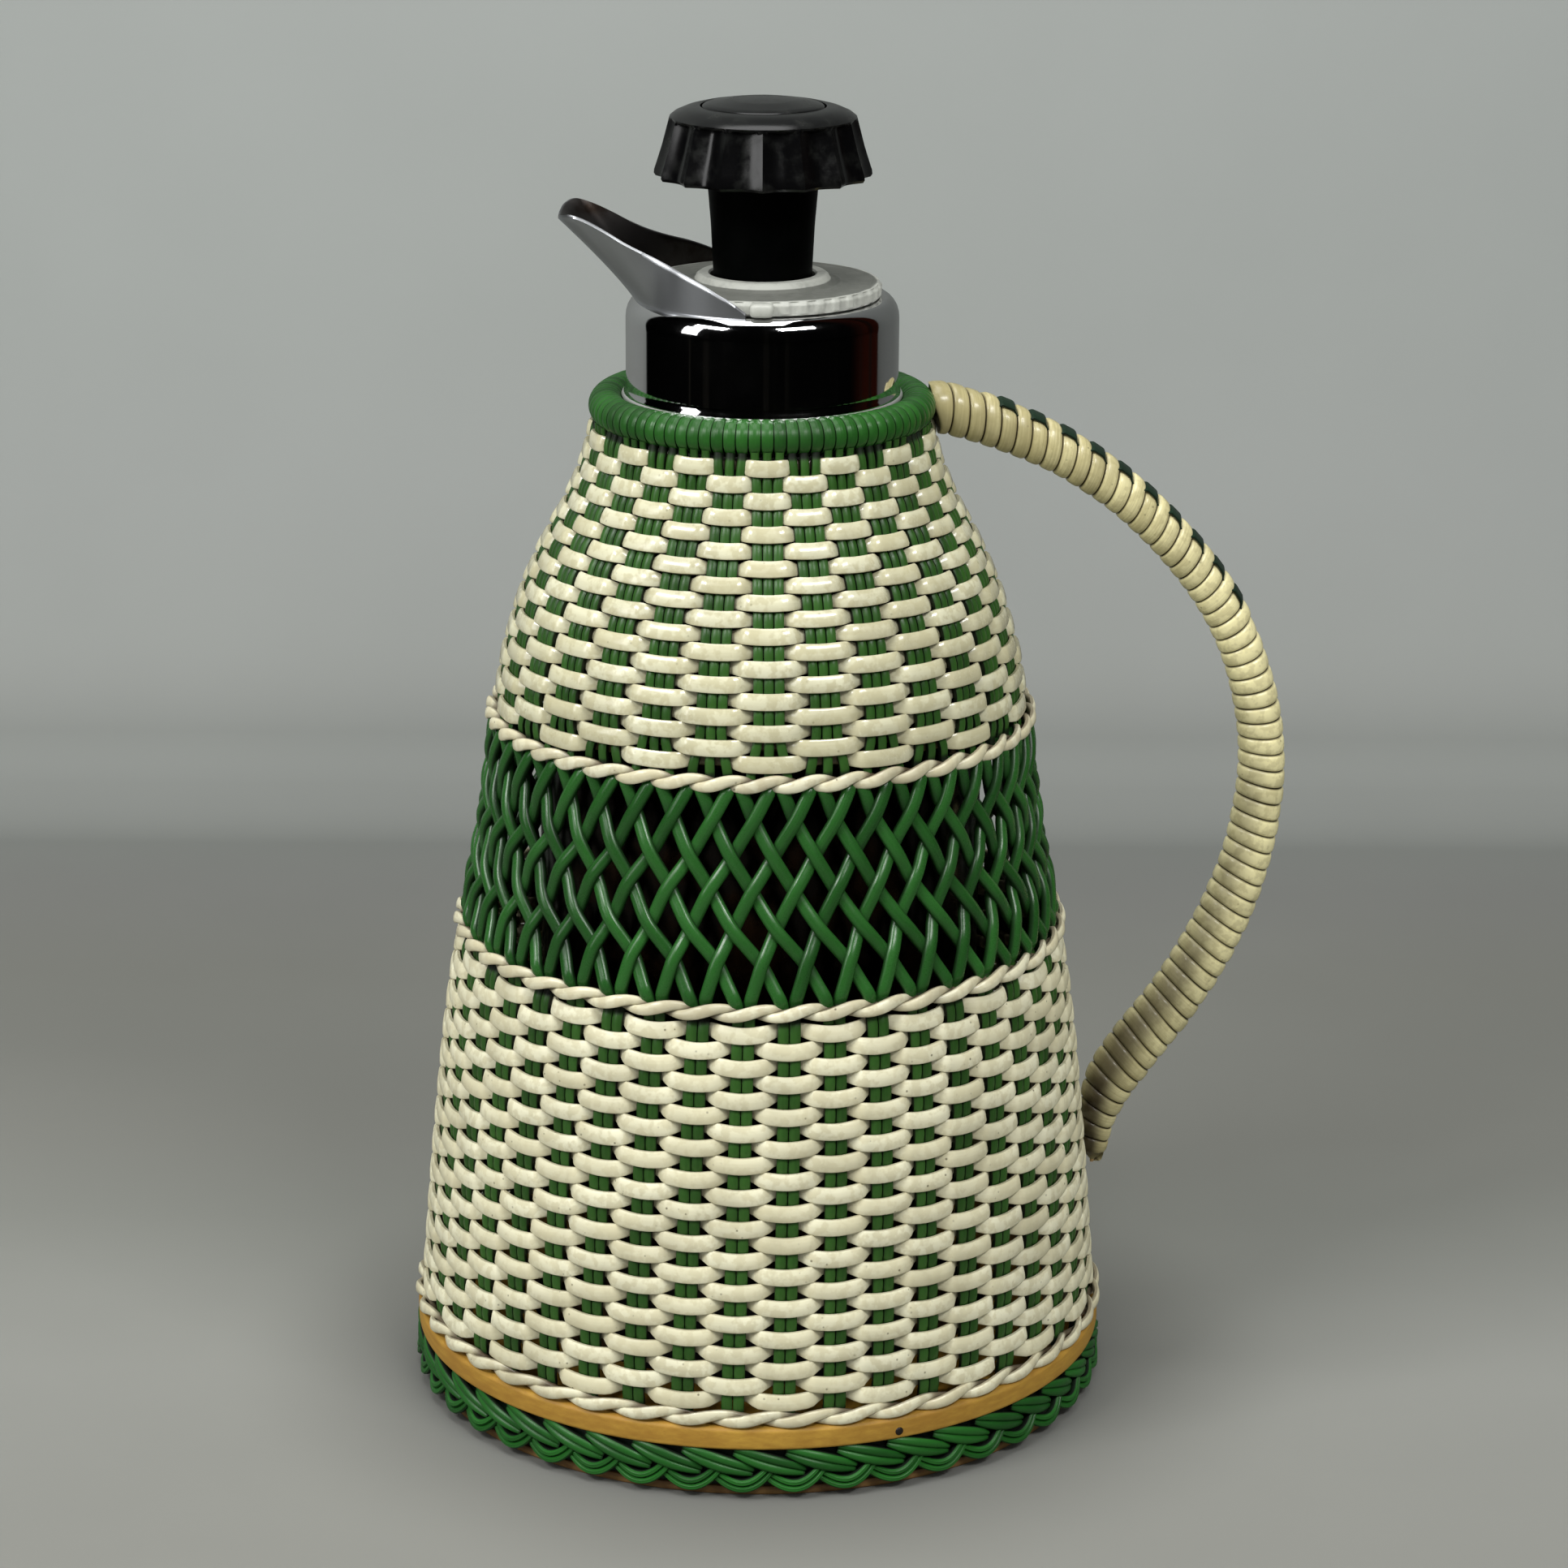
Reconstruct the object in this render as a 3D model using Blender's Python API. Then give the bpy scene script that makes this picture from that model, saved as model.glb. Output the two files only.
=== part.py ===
# Woven vacuum jug: a silvered glass flask in a basket of green and cream cord, with a chrome
# pouring collar, a white stopper and a fluted black knob that lifts the pouring valve.
# Metres, +Z up. The origin is the centre of the underside that the jug stands on.
# The spout points to -X, and the handle is near +X, turned HANDLE_TURN towards +Y.

import math

import bmesh
import bpy
import numpy as np
from mathutils import Matrix, Vector

MM = 0.001
GAP = 0.3 * MM

# Foot: base board, plaited border under it and bottom plate
BOARD_RADIUS = 83.0 * MM
BOARD_WIDTH = 27.0 * MM
BOARD_THICKNESS = 5.5 * MM
BOARD_EDGE = 0.6 * MM
BOARD_CAP = 1.4 * MM
BOARD_OPENING = BOARD_RADIUS - BOARD_WIDTH
PLATE_INSET = 2.5 * MM
PLATE_RADIUS = BOARD_RADIUS - PLATE_INSET
PLATE_THICKNESS = 2.0 * MM
BRAID_PROUD = 0.8 * MM
BRAID_WIDTH = 14.8 * MM
BRAID_HEIGHT = 9.9 * MM
BRAID_OUTER = BOARD_RADIUS + BRAID_PROUD
BRAID_INNER = BRAID_OUTER - BRAID_WIDTH
BRAID_LOBE = 0.9 * MM
BRAID_SLOPE_LOW = 3.0 * MM
BRAID_SLOPE_HIGH = 1.6 * MM
BOARD_BOTTOM = PLATE_THICKNESS + BRAID_HEIGHT + 2.0 * GAP
BOARD_TOP = BOARD_BOTTOM + BOARD_THICKNESS
PLATE_SCREW_INSET = 6.0 * MM
PLATE_SCREW_CIRCLE = BRAID_INNER - PLATE_SCREW_INSET
PLATE_SCREW_COUNT = 3
PLATE_SCREW_SHANK = 1.7 * MM
PLATE_SCREW_HEAD = 3.4 * MM
PLATE_SCREW_RECESS = 0.2 * MM
PLATE_SCREW_TIP = 2.0 * MM
PLATE_SCREW_TURN = math.radians(30.0)
NAIL_RADIUS = 0.9 * MM
NAIL_LENGTH = 5.0 * MM
NAIL_PROUD = 0.1 * MM
NAIL_RISE = 1.9 * MM
NAIL_HEIGHT = BOARD_BOTTOM + NAIL_RISE
NAIL_TURN = math.radians(-66.6)

# Neck, from the glass outwards: flask neck, gasket, neck ring, collar and rim hoop
NECK_BORE = 19.1 * MM
NECK_WALLS = 5.4 * MM
NECK_OUTER = NECK_BORE + NECK_WALLS
GASKET_WALL = 3.5 * MM
GASKET_OUTER = NECK_OUTER + GASKET_WALL
RING_SPACE = 1.6 * MM
RING_WALL = 1.8 * MM
RING_BORE = GASKET_OUTER + RING_SPACE
RING_OUTER = RING_BORE + RING_WALL
COLLAR_PROUD = 0.05 * MM
COLLAR_RADIUS = RING_OUTER + COLLAR_PROUD
RING_BEAD_SPACE = 0.35 * MM
RING_BEAD_WALL = 0.6 * MM
RING_BEAD_INNER = COLLAR_RADIUS + RING_BEAD_SPACE
RING_BEAD_OUTER = RING_BEAD_INNER + RING_BEAD_WALL
HOOP_TUBE = 4.15 * MM
HOOP_SPACE = 0.55 * MM
HOOP_MAJOR = RING_BEAD_OUTER + HOOP_TUBE - HOOP_SPACE
HOOP_SIDES = 7
WRAP_GROOVE = 0.35 * MM

# Basket: heights of its three bands, and its outline between the foot and the mouth
LOWER_BAND_HEIGHT = 98.0 * MM
OPEN_BAND_HEIGHT = 47.4 * MM
UPPER_BAND_HEIGHT = 70.1 * MM
LOWER_BAND_TOP = BOARD_TOP + LOWER_BAND_HEIGHT
LATTICE_TOP = LOWER_BAND_TOP + OPEN_BAND_HEIGHT
UPPER_BAND_TOP = LATTICE_TOP + UPPER_BAND_HEIGHT
BASKET_HEIGHT = UPPER_BAND_TOP - BOARD_TOP
BASKET_WALL = 3.0 * MM
BASKET_FOOT_INSET = 0.6 * MM
BASKET_MOUTH_PROUD = 0.16 * MM
BASKET_FOOT = BOARD_RADIUS - BASKET_FOOT_INSET
BASKET_MOUTH = HOOP_MAJOR + HOOP_TUBE + BASKET_MOUTH_PROUD
# Part of the basket's height, and how far the wall stands outside a straight line there
BASKET_BULGES = [
    (0.0000, 0.00 * MM),
    (0.1694, 4.13 * MM),
    (0.3086, 6.99 * MM),
    (0.3921, 8.10 * MM),
    (0.4524, 7.94 * MM),
    (0.5406, 7.45 * MM),
    (0.6241, 8.37 * MM),
    (0.6798, 9.81 * MM),
    (0.7494, 10.44 * MM),
    (0.8190, 8.97 * MM),
    (0.8747, 6.02 * MM),
    (0.9211, 2.37 * MM),
    (0.9675, 0.22 * MM),
    (1.0000, 0.00 * MM),
]
STRAND_PAIRS = 43
TWINE_HEIGHT = 2.8 * MM
TWINE_PROUD = 0.5 * MM
TWINE_SHOULDER = 0.2 * MM
# Weave: strips pass over one column of cords and under the next. A column leans by
# LOWER_COLUMN_LEAN for each metre of height.
INSIDE_RINGS = 5
WEAVE_RELIEF = 1.4 * MM
LOWER_ROW_PITCH = 3.72 * MM
LOWER_ROW_START = 3.2 * MM
LOWER_COLUMN_TURN = math.radians(-92.6)
LOWER_COLUMN_LEAN = math.radians(13.3)
UPPER_COLUMNS = 29
UPPER_ROW_PITCH = 3.46 * MM
UPPER_ROW_START = 1.4 * MM
UPPER_COLUMN_TURN = math.radians(-87.9)
LATTICE_STRAND = 2.5 * MM
LATTICE_DEPTH = 2.3 * MM
LATTICE_DRIFT = 2.75
# Crossing rows as parts of the open band's height, from its top
LATTICE_CROSSINGS = [0.129, 0.311, 0.477, 0.659, 0.818]
HOOP_CLEARANCE = 0.35 * MM
HOOP_HEIGHT = UPPER_BAND_TOP + HOOP_TUBE + HOOP_CLEARANCE

# Handle
HANDLE_TURN = math.radians(9.0)
HANDLE_WRAPS = 60
HANDLE_SIDES = 8
HANDLE_WALL = 1.5 * MM
HANDLE_BORE_LEAST = 0.8 * MM
HANDLE_RINGS = 14
HANDLE_SLOPE_STEP = 0.004
HANDLE_ROOT_REACH = 3.5 * MM
HANDLE_ROOT_RADIUS = 2.9 * MM
# Handle centre line: distance from the basket wall, part of the basket's height, outside
# radius of the wrapping
HANDLE_STATIONS = [
    (3.69 * MM, 1.0102, 6.10 * MM),
    (17.77 * MM, 0.9854, 5.60 * MM),
    (30.45 * MM, 0.9506, 5.25 * MM),
    (40.53 * MM, 0.8965, 5.05 * MM),
    (47.80 * MM, 0.8232, 5.05 * MM),
    (52.85 * MM, 0.7517, 5.20 * MM),
    (55.99 * MM, 0.6794, 5.45 * MM),
    (56.99 * MM, 0.6079, 5.65 * MM),
    (53.92 * MM, 0.5378, 5.95 * MM),
    (47.35 * MM, 0.4682, 6.25 * MM),
    (38.00 * MM, 0.3977, 6.55 * MM),
    (26.93 * MM, 0.3271, 6.75 * MM),
    (16.40 * MM, 0.2715, 6.80 * MM),
    (9.31 * MM, 0.2302, 6.40 * MM),
    (5.35 * MM, 0.1903, 4.90 * MM),
    (3.81 * MM, 0.1531, 3.40 * MM),
    (2.81 * MM, 0.1276, 2.30 * MM),
]
LEADER_WIDTH = 5.0 * MM
LEADER_TURN = math.radians(-15.0)
LEADER_THICKNESS = 0.6 * MM
LEADER_CHAMFER = 0.4 * MM
LEADER_FROM = 0.055
LEADER_TO = 0.34
LEADER_RINGS = 12

# Vacuum flask: two glass walls with an evacuated gap between them
GLASS = 1.5 * MM
FLASK_RADIUS = 52.0 * MM
FLASK_RISE = 8.0 * MM
FLASK_BOTTOM = BOARD_TOP + FLASK_RISE
FLASK_LIP_RISE = 7.5 * MM
FLASK_LIP = UPPER_BAND_TOP + FLASK_LIP_RISE
FLASK_LIP_STEP = 1.1 * MM
FLASK_GAP = 4.3 * MM
FLASK_TIP = 5.5 * MM
FLASK_TIP_SLOPE = 1.1 * MM
FLASK_TIP_NOSE = 2.4 * MM
FLASK_TIP_ROOT = 3.6 * MM
FLASK_DOME = 1.0 * MM
FLASK_STEPS = 20
# Rounded bottom: part of the wall's radius, and rise above the bottom
FLASK_BASE_CURVE = [
    (0.45, 2.4 * MM),
    (0.74, 8.0 * MM),
    (0.93, 18.5 * MM),
    (1.0, 32.0 * MM),
]
# Shoulder: part of the wall's radius, and rise above where the straight wall ends
FLASK_SHOULDER_CURVE = [
    (1.0, 0.0),
    (0.965, 16.0 * MM),
    (0.87, 32.0 * MM),
    (0.75, 47.0 * MM),
    (0.62, 60.0 * MM),
]
FLASK_NECK_RISE = 68.0 * MM
FLASK_NECK_BLEND = 8.0 * MM
FLASK_NECK_FLARE = 1.9 * MM
FLASK_NECK_LENGTH = 15.0 * MM
FLASK_SHOULDER = FLASK_LIP - FLASK_NECK_LENGTH - FLASK_NECK_BLEND - FLASK_NECK_RISE
FLASK_INNER_DROP = 3.0 * MM
SEAT_OUTER = 36.0 * MM
SEAT_INNER = 20.5 * MM
SEAT_EDGE_RISE = 5.9 * MM
SEAT_RISE = 1.9 * MM
SEAT_INNER_RISE = 1.4 * MM
PAD_RADIUS = 4.0 * MM
PAD_RISE = 40.0 * MM
PAD_HEIGHT = FLASK_BOTTOM + PAD_RISE
PAD_COUNT = 3
PAD_TURN = math.radians(60.0)
PAD_DOME_CLEARANCE = 0.75 * MM

# Neck ring and gasket
GASKET_SETBACK = 1.7 * MM
GASKET_LENGTH = 19.9 * MM
GASKET_GRIP = 11.3 * MM
GASKET_SLOPE = 1.2 * MM
GASKET_FLARE = 2.2 * MM
GASKET_TOP = FLASK_LIP - GASKET_SETBACK
GASKET_BOTTOM = GASKET_TOP - GASKET_LENGTH
RING_DEPTH = 11.5 * MM
RING_BOTTOM = UPPER_BAND_TOP - RING_DEPTH
RING_FLANGE_INSET = 1.01 * MM
RING_FLANGE = BASKET_MOUTH - BASKET_WALL - RING_FLANGE_INSET
RING_FLANGE_THICKNESS = 1.3 * MM
RING_BEAD_DROP = 0.9 * MM
RING_BEAD_RISE = 0.6 * MM
RING_BEAD_EDGE = 1.1 * MM

# Pouring collar
COLLAR_RISE = 7.2 * MM
COLLAR_HEIGHT = 22.7 * MM
COLLAR_FOOT = UPPER_BAND_TOP + COLLAR_RISE
COLLAR_TOP = COLLAR_FOOT + COLLAR_HEIGHT
COLLAR_WALL = 1.15 * MM
COLLAR_RIM = 1.4 * MM
COLLAR_RIM_WIDTH = 5.85 * MM
COLLAR_BORE = COLLAR_RADIUS - COLLAR_RIM_WIDTH
# Rounded shoulder: inwards from the collar's side, and down from its top
COLLAR_SHOULDER = [
    (0.0, 3.6 * MM),
    (0.5 * MM, 1.9 * MM),
    (1.4 * MM, 0.6 * MM),
    (2.5 * MM, 0.0),
]
# The same shoulder inside, from the rim's underside
COLLAR_HOLLOW = [
    (3.0 * MM, 0.8 * MM),
    (COLLAR_WALL, 3.0 * MM),
]
SKIRT_OUTER = RING_BORE - GAP
SKIRT_DEPTH = 8.2 * MM
SKIRT_BOTTOM = COLLAR_FOOT - SKIRT_DEPTH
SKIRT_WALL = 1.0 * MM
SPOUT_INSET = 3.05 * MM
SPOUT_WALL_RADIUS = COLLAR_RADIUS - SPOUT_INSET
SPOUT_SHEET = 1.0 * MM
SPOUT_ROOT = 0.7 * MM
SPOUT_LEAN = 1.5
SPOUT_ROWS = 5
# Beak's top edge from the lip's middle back: reach beyond the collar's sheet, half width,
# rise above the collar
SPOUT_BEAK = [
    (17.9 * MM, 0.0 * MM, 18.3 * MM),
    (17.8 * MM, 4.0 * MM, 18.5 * MM),
    (17.0 * MM, 8.6 * MM, 19.3 * MM),
    (14.8 * MM, 11.5 * MM, 19.9 * MM),
    (11.2 * MM, 12.6 * MM, 18.8 * MM),
    (6.8 * MM, 13.8 * MM, 16.6 * MM),
    (2.6 * MM, 15.0 * MM, 14.2 * MM),
    (-1.8 * MM, 15.9 * MM, 12.1 * MM),
    (-5.5 * MM, 16.9 * MM, 10.6 * MM),
]
# Its wings, which follow the collar and die out beside the stopper's lug: turn from the
# spout's middle, rise above the collar
SPOUT_WINGS = [
    (math.radians(50.7), 8.6 * MM),
    (math.radians(65.1), 5.9 * MM),
    (math.radians(75.8), 3.2 * MM),
    (math.radians(82.7), 0.8 * MM),
]
POUR_CHANNEL = 16.0 * MM
POUR_SLOT_WALL = 1.0 * MM
POUR_SLOT_DEPTH = 2.0 * MM
POUR_SLOT_OUTER = -(COLLAR_BORE + POUR_SLOT_WALL)
POUR_SLOT_INNER = -COLLAR_BORE

# Stopper
DISC_CLEARANCE = 0.54 * MM
DISC_RADIUS = SPOUT_WALL_RADIUS - SPOUT_SHEET / 2.0 - DISC_CLEARANCE
DISC_THICKNESS = 3.2 * MM
DISC_EDGE_LOW = 0.6 * MM
DISC_EDGE_HIGH = 0.8 * MM
DISC_UNDERCUT = 0.4 * MM
DISC_BOTTOM = COLLAR_TOP + GAP
DISC_TOP = DISC_BOTTOM + DISC_THICKNESS
SOCKET_CLEARANCE = 0.6 * MM
SOCKET_OUTER = COLLAR_BORE - SOCKET_CLEARANCE
SOCKET_WALL = 1.4 * MM
SOCKET_DEPTH = 4.3 * MM
SOCKET_BOTTOM = DISC_BOTTOM - SOCKET_DEPTH
SOCKET_NOTCH = 2.3 * MM
DISC_SAG = 1.5 * MM
DISC_FLOOR = DISC_BOTTOM - DISC_SAG
STEM_FOOT = 11.1 * MM
STEM_WAIST = 11.4 * MM
STEM_CLEARANCE = 0.7 * MM
HUB_BORE = STEM_WAIST + STEM_CLEARANCE
HUB_WALL = 3.1 * MM
HUB_OUTER = HUB_BORE + HUB_WALL
HUB_RISE = 1.9 * MM
HUB_TOP = DISC_TOP + HUB_RISE
HUB_SLOPE = 1.2 * MM
HUB_EDGE = 0.7 * MM
SPINDLE_RADIUS = 5.0 * MM
GUIDE_CLEARANCE = 0.4 * MM
GUIDE_BORE = SPINDLE_RADIUS + GUIDE_CLEARANCE
GUIDE_WALL = 3.2 * MM
GUIDE_DEPTH = 8.9 * MM
GUIDE_BOTTOM = DISC_BOTTOM - GUIDE_DEPTH
LUG_WIDTH = 5.3 * MM
LUG_LENGTH = 3.6 * MM
LUG_HEIGHT = 2.2 * MM
LUG_PROUD = 1.0 * MM
LUG_RISE = 1.2 * MM

# Pouring valve
SEAL_THICKNESS = 2.4 * MM
PLUG_SEAT = FLASK_LIP + SEAL_THICKNESS
PLUG_DEPTH = 17.4 * MM
PLUG_BOTTOM = PLUG_SEAT - PLUG_DEPTH
PLUG_CLEARANCE = 0.6 * MM
PLUG_NOSE = NECK_BORE - PLUG_CLEARANCE
PLUG_NOSE_SLOPE = 2.5 * MM
PLUG_NOSE_INSET = 1.1 * MM
PLUG_FLANGE_INSET = 2.1 * MM
PLUG_FLANGE = NECK_OUTER - PLUG_FLANGE_INSET
PLUG_FLANGE_EDGE = 2.0 * MM
PLUG_FLANGE_SLOPE = 1.0 * MM
PLUG_HUB_WALL = 3.7 * MM
PLUG_HUB = SPINDLE_RADIUS + GAP + PLUG_HUB_WALL
PLUG_HUB_DRAFT = 0.5 * MM
PLUG_HUB_RISE = 4.6 * MM
PLUG_FLOOR = 3.2 * MM
SPINDLE_LIFT = 0.5 * MM
SPINDLE_LENGTH = 40.6 * MM
SPINDLE_BOTTOM = PLUG_SEAT + SPINDLE_LIFT
SPINDLE_TOP = SPINDLE_BOTTOM + SPINDLE_LENGTH
SCREW_BORE = 1.9 * MM
SCREW_SHANK = 1.6 * MM
SCREW_HEAD = 3.5 * MM
SCREW_HEAD_SPACE = 0.5 * MM
SCREW_REACH = 8.0 * MM
SCREW_END_SPACE = 1.0 * MM

# Knob
STEM_DROP = 1.2 * MM
STEM_BOTTOM = DISC_BOTTOM - STEM_DROP
HUB_FLOOR_SPACE = 0.4 * MM
STEM_WAIST_RISE = 7.5 * MM
STEM_HEAD = 12.75 * MM
STEM_COLLAR = 1.0 * MM
KNOB_RISE = 22.1 * MM
KNOB_HEIGHT = 17.8 * MM
KNOB_BOTTOM = HUB_TOP + KNOB_RISE
KNOB_APEX = KNOB_BOTTOM + KNOB_HEIGHT
KNOB_SHOULDER_DROP = 4.0 * MM
KNOB_SHOULDER_HEIGHT = KNOB_APEX - KNOB_SHOULDER_DROP
KNOB_CROWN = 1.8 * MM
INSERT_DEPTH = 3.4 * MM
STEM_TOP = KNOB_APEX - INSERT_DEPTH - KNOB_CROWN - GAP
KNOB_SHOULDER = 21.4 * MM
KNOB_SHOULDER_SLOPE = 0.9 * MM
KNOB_SHOULDER_EDGE = 0.5 * MM
KNOB_FLARE = 3.5 * MM
KNOB_SKIRT = KNOB_SHOULDER + KNOB_FLARE
KNOB_SKIRT_EDGE = 0.5 * MM
KNOB_SKIRT_INSET = 0.4 * MM
KNOB_FLUTES = 16
FLUTE_DEPTH = 0.8 * MM
KNOB_DOME = 1.6 * MM
KNOB_DOME_STEP = 0.1 * MM
KNOB_WALL = 2.2 * MM
KNOB_HUB_WALL = 0.85 * MM
INSERT_INSET = 7.3 * MM
INSERT_RADIUS = KNOB_SHOULDER - INSERT_INSET
INSERT_EDGE = 0.5 * MM
INSERT_CROWN = 0.35 * MM


def clear_scene():
    for item in list(bpy.data.objects):
        bpy.data.objects.remove(item, do_unlink=True)


def make_material(name, colour, roughness, metallic=0.0):
    material = bpy.data.materials.new(name)
    material.use_nodes = True
    shader = material.node_tree.nodes["Principled BSDF"]
    shader.inputs["Base Color"].default_value = (*colour, 1.0)
    shader.inputs["Roughness"].default_value = roughness
    shader.inputs["Metallic"].default_value = metallic
    material.diffuse_color = (*colour, 1.0)
    return material


def add_object(name, mesh, material, origin=(0.0, 0.0, 0.0), parent=None):
    thing = bpy.data.objects.new(name, mesh)
    bpy.context.scene.collection.objects.link(thing)
    thing.location = origin
    if material is not None:
        mesh.materials.append(material)
    if parent is not None:
        thing.parent = parent
        thing.location = Vector(origin) - Vector(parent["world_origin"])
    return thing


def add_pivot(name, height, parent=None):
    pivot = bpy.data.objects.new(name, None)
    pivot["world_origin"] = (0.0, 0.0, height)
    bpy.context.scene.collection.objects.link(pivot)
    base = parent["world_origin"][2] if parent is not None else 0.0
    pivot.location = (0.0, 0.0, height - base)
    pivot.parent = parent
    return pivot


def finish_mesh(form, name, sharp_angle=35.0):
    bmesh.ops.remove_doubles(form, verts=form.verts, dist=0.01 * MM)
    bmesh.ops.recalc_face_normals(form, faces=form.faces)
    mesh = bpy.data.meshes.new(name)
    form.to_mesh(mesh)
    form.free()
    mesh.shade_smooth()
    mesh.set_sharp_from_angle(angle=math.radians(sharp_angle))
    return mesh


# A closed outline of (radius, height) corners turned about the Z axis
def turned(name, outline, steps, material, base=0.0, parent=None, closed=True):
    form = bmesh.new()
    corners = [form.verts.new((radius, 0.0, height - base)) for radius, height in outline]
    edges = [form.edges.new(pair) for pair in zip(corners, corners[1:])]
    if closed:
        edges.append(form.edges.new((corners[-1], corners[0])))
    bmesh.ops.spin(
        form,
        geom=corners + edges,
        cent=(0.0, 0.0, 0.0),
        axis=(0.0, 0.0, 1.0),
        angle=2.0 * math.pi,
        steps=steps,
        use_merge=True,
    )
    return add_object(name, finish_mesh(form, name), material, (0.0, 0.0, base), parent)


# Rings of points joined in order: every ring closes on itself, and the last ring may meet the first
def ring_faces(form, rings, wrap):
    count = len(rings[0])
    pairs = list(zip(rings, rings[1:]))
    if wrap:
        pairs.append((rings[-1], rings[0]))
    for first, second in pairs:
        for step in range(count):
            after = (step + 1) % count
            form.faces.new((first[step], first[after], second[after], second[step]))


def cylinder_between(form, start, end, radius_start, radius_end, sides):
    start = Vector(start)
    end = Vector(end)
    turn = (end - start).to_track_quat("Z", "Y").to_matrix().to_4x4()
    place = Matrix.Translation((start + end) / 2.0) @ turn
    bmesh.ops.create_cone(
        form,
        cap_ends=True,
        segments=sides,
        radius1=radius_start,
        radius2=radius_end,
        depth=(end - start).length,
        matrix=place,
    )


def cutter(name, form, target, operation="DIFFERENCE"):
    tool = add_object(name, finish_mesh(form, name), None)
    tool.hide_render = True
    tool.display_type = "WIRE"
    modifier = target.modifiers.new(name, "BOOLEAN")
    modifier.operation = operation
    modifier.solver = "EXACT"
    modifier.object = tool
    return tool


# Cubic through the stations: value and neighbours weighted so that it passes every station
def through_stations(rows, amount):
    rows = np.array(rows, dtype=float)
    last = len(rows) - 1
    place = min(max(amount, 0.0), 1.0) * last
    index = min(int(place), last - 1)
    part = place - index
    before = rows[max(index - 1, 0)]
    start = rows[index]
    end = rows[index + 1]
    after = rows[min(index + 2, last)]
    return 0.5 * (
        2.0 * start
        + (end - before) * part
        + (2.0 * before - 5.0 * start + 4.0 * end - after) * part ** 2
        + (3.0 * start - before - 3.0 * end + after) * part ** 3
    )


# Outer radius of the basket wall: a straight line from foot to mouth, and the bulge outside it
def basket_radius(height):
    part = min(max((height - BOARD_TOP) / BASKET_HEIGHT, 0.0), 1.0)
    line = BASKET_FOOT + (BASKET_MOUTH - BASKET_FOOT) * part
    parts, bulges = zip(*BASKET_BULGES)
    return line + float(np.interp(part, parts, bulges))


def polar(radius, turn, height):
    return Vector((radius * math.cos(turn), radius * math.sin(turn), height))


# Foot

def build_bottom_plate(material, screw_material):
    outline = [(0.0, 0.0), (PLATE_RADIUS, 0.0), (PLATE_RADIUS, PLATE_THICKNESS), (0.0, PLATE_THICKNESS)]
    plate = turned("bottom_plate", outline, 32, material, closed=False)
    form = bmesh.new()
    for number in range(PLATE_SCREW_COUNT):
        turn = PLATE_SCREW_TURN + number * 2.0 * math.pi / PLATE_SCREW_COUNT
        low = polar(PLATE_SCREW_CIRCLE, turn, -PLATE_SCREW_RECESS)
        high = polar(PLATE_SCREW_CIRCLE, turn, PLATE_THICKNESS + PLATE_SCREW_RECESS)
        wide = PLATE_SCREW_HEAD + GAP
        narrow = PLATE_SCREW_SHANK + GAP
        cylinder_between(form, low, high, wide, narrow, 8)
        build_plate_screw(number + 1, turn, screw_material)
    cutter("plate_countersinks", form, plate)
    return plate


def build_plate_screw(number, turn, material):
    head_low = PLATE_SCREW_RECESS
    head_high = PLATE_THICKNESS - PLATE_SCREW_RECESS / 2.0
    tip = BOARD_TOP - PLATE_SCREW_TIP
    outline = [
        (0.0, head_low),
        (PLATE_SCREW_HEAD - GAP, head_low),
        (PLATE_SCREW_SHANK, head_high),
        (PLATE_SCREW_SHANK, tip - PLATE_SCREW_HEAD),
        (0.0, tip),
    ]
    name = "plate_screw_%d" % number
    screw = turned(name, outline, 8, material, closed=False)
    screw.location = polar(PLATE_SCREW_CIRCLE, turn, 0.0)
    return screw


# Plaited border under the board: one lobe for each pair of strand ends
def build_foot_braid(material):
    low = PLATE_THICKNESS + GAP
    high = BOARD_BOTTOM - GAP
    middle = (low + high) / 2.0
    form = bmesh.new()
    rings = []
    for step in range(2 * STRAND_PAIRS):
        turn = step * math.pi / STRAND_PAIRS
        outer = BRAID_OUTER - (BRAID_LOBE if step % 2 else 0.0)
        section = [
            (BRAID_INNER, low),
            (outer - BRAID_SLOPE_LOW, low),
            (outer, middle - BRAID_LOBE / 2.0),
            (outer - BRAID_SLOPE_HIGH, high),
            (BRAID_INNER, high),
        ]
        rings.append([form.verts.new(polar(radius, turn, height)) for radius, height in section])
    ring_faces(form, rings, wrap=True)
    return add_object("foot_braid", finish_mesh(form, "foot_braid"), material)


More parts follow.
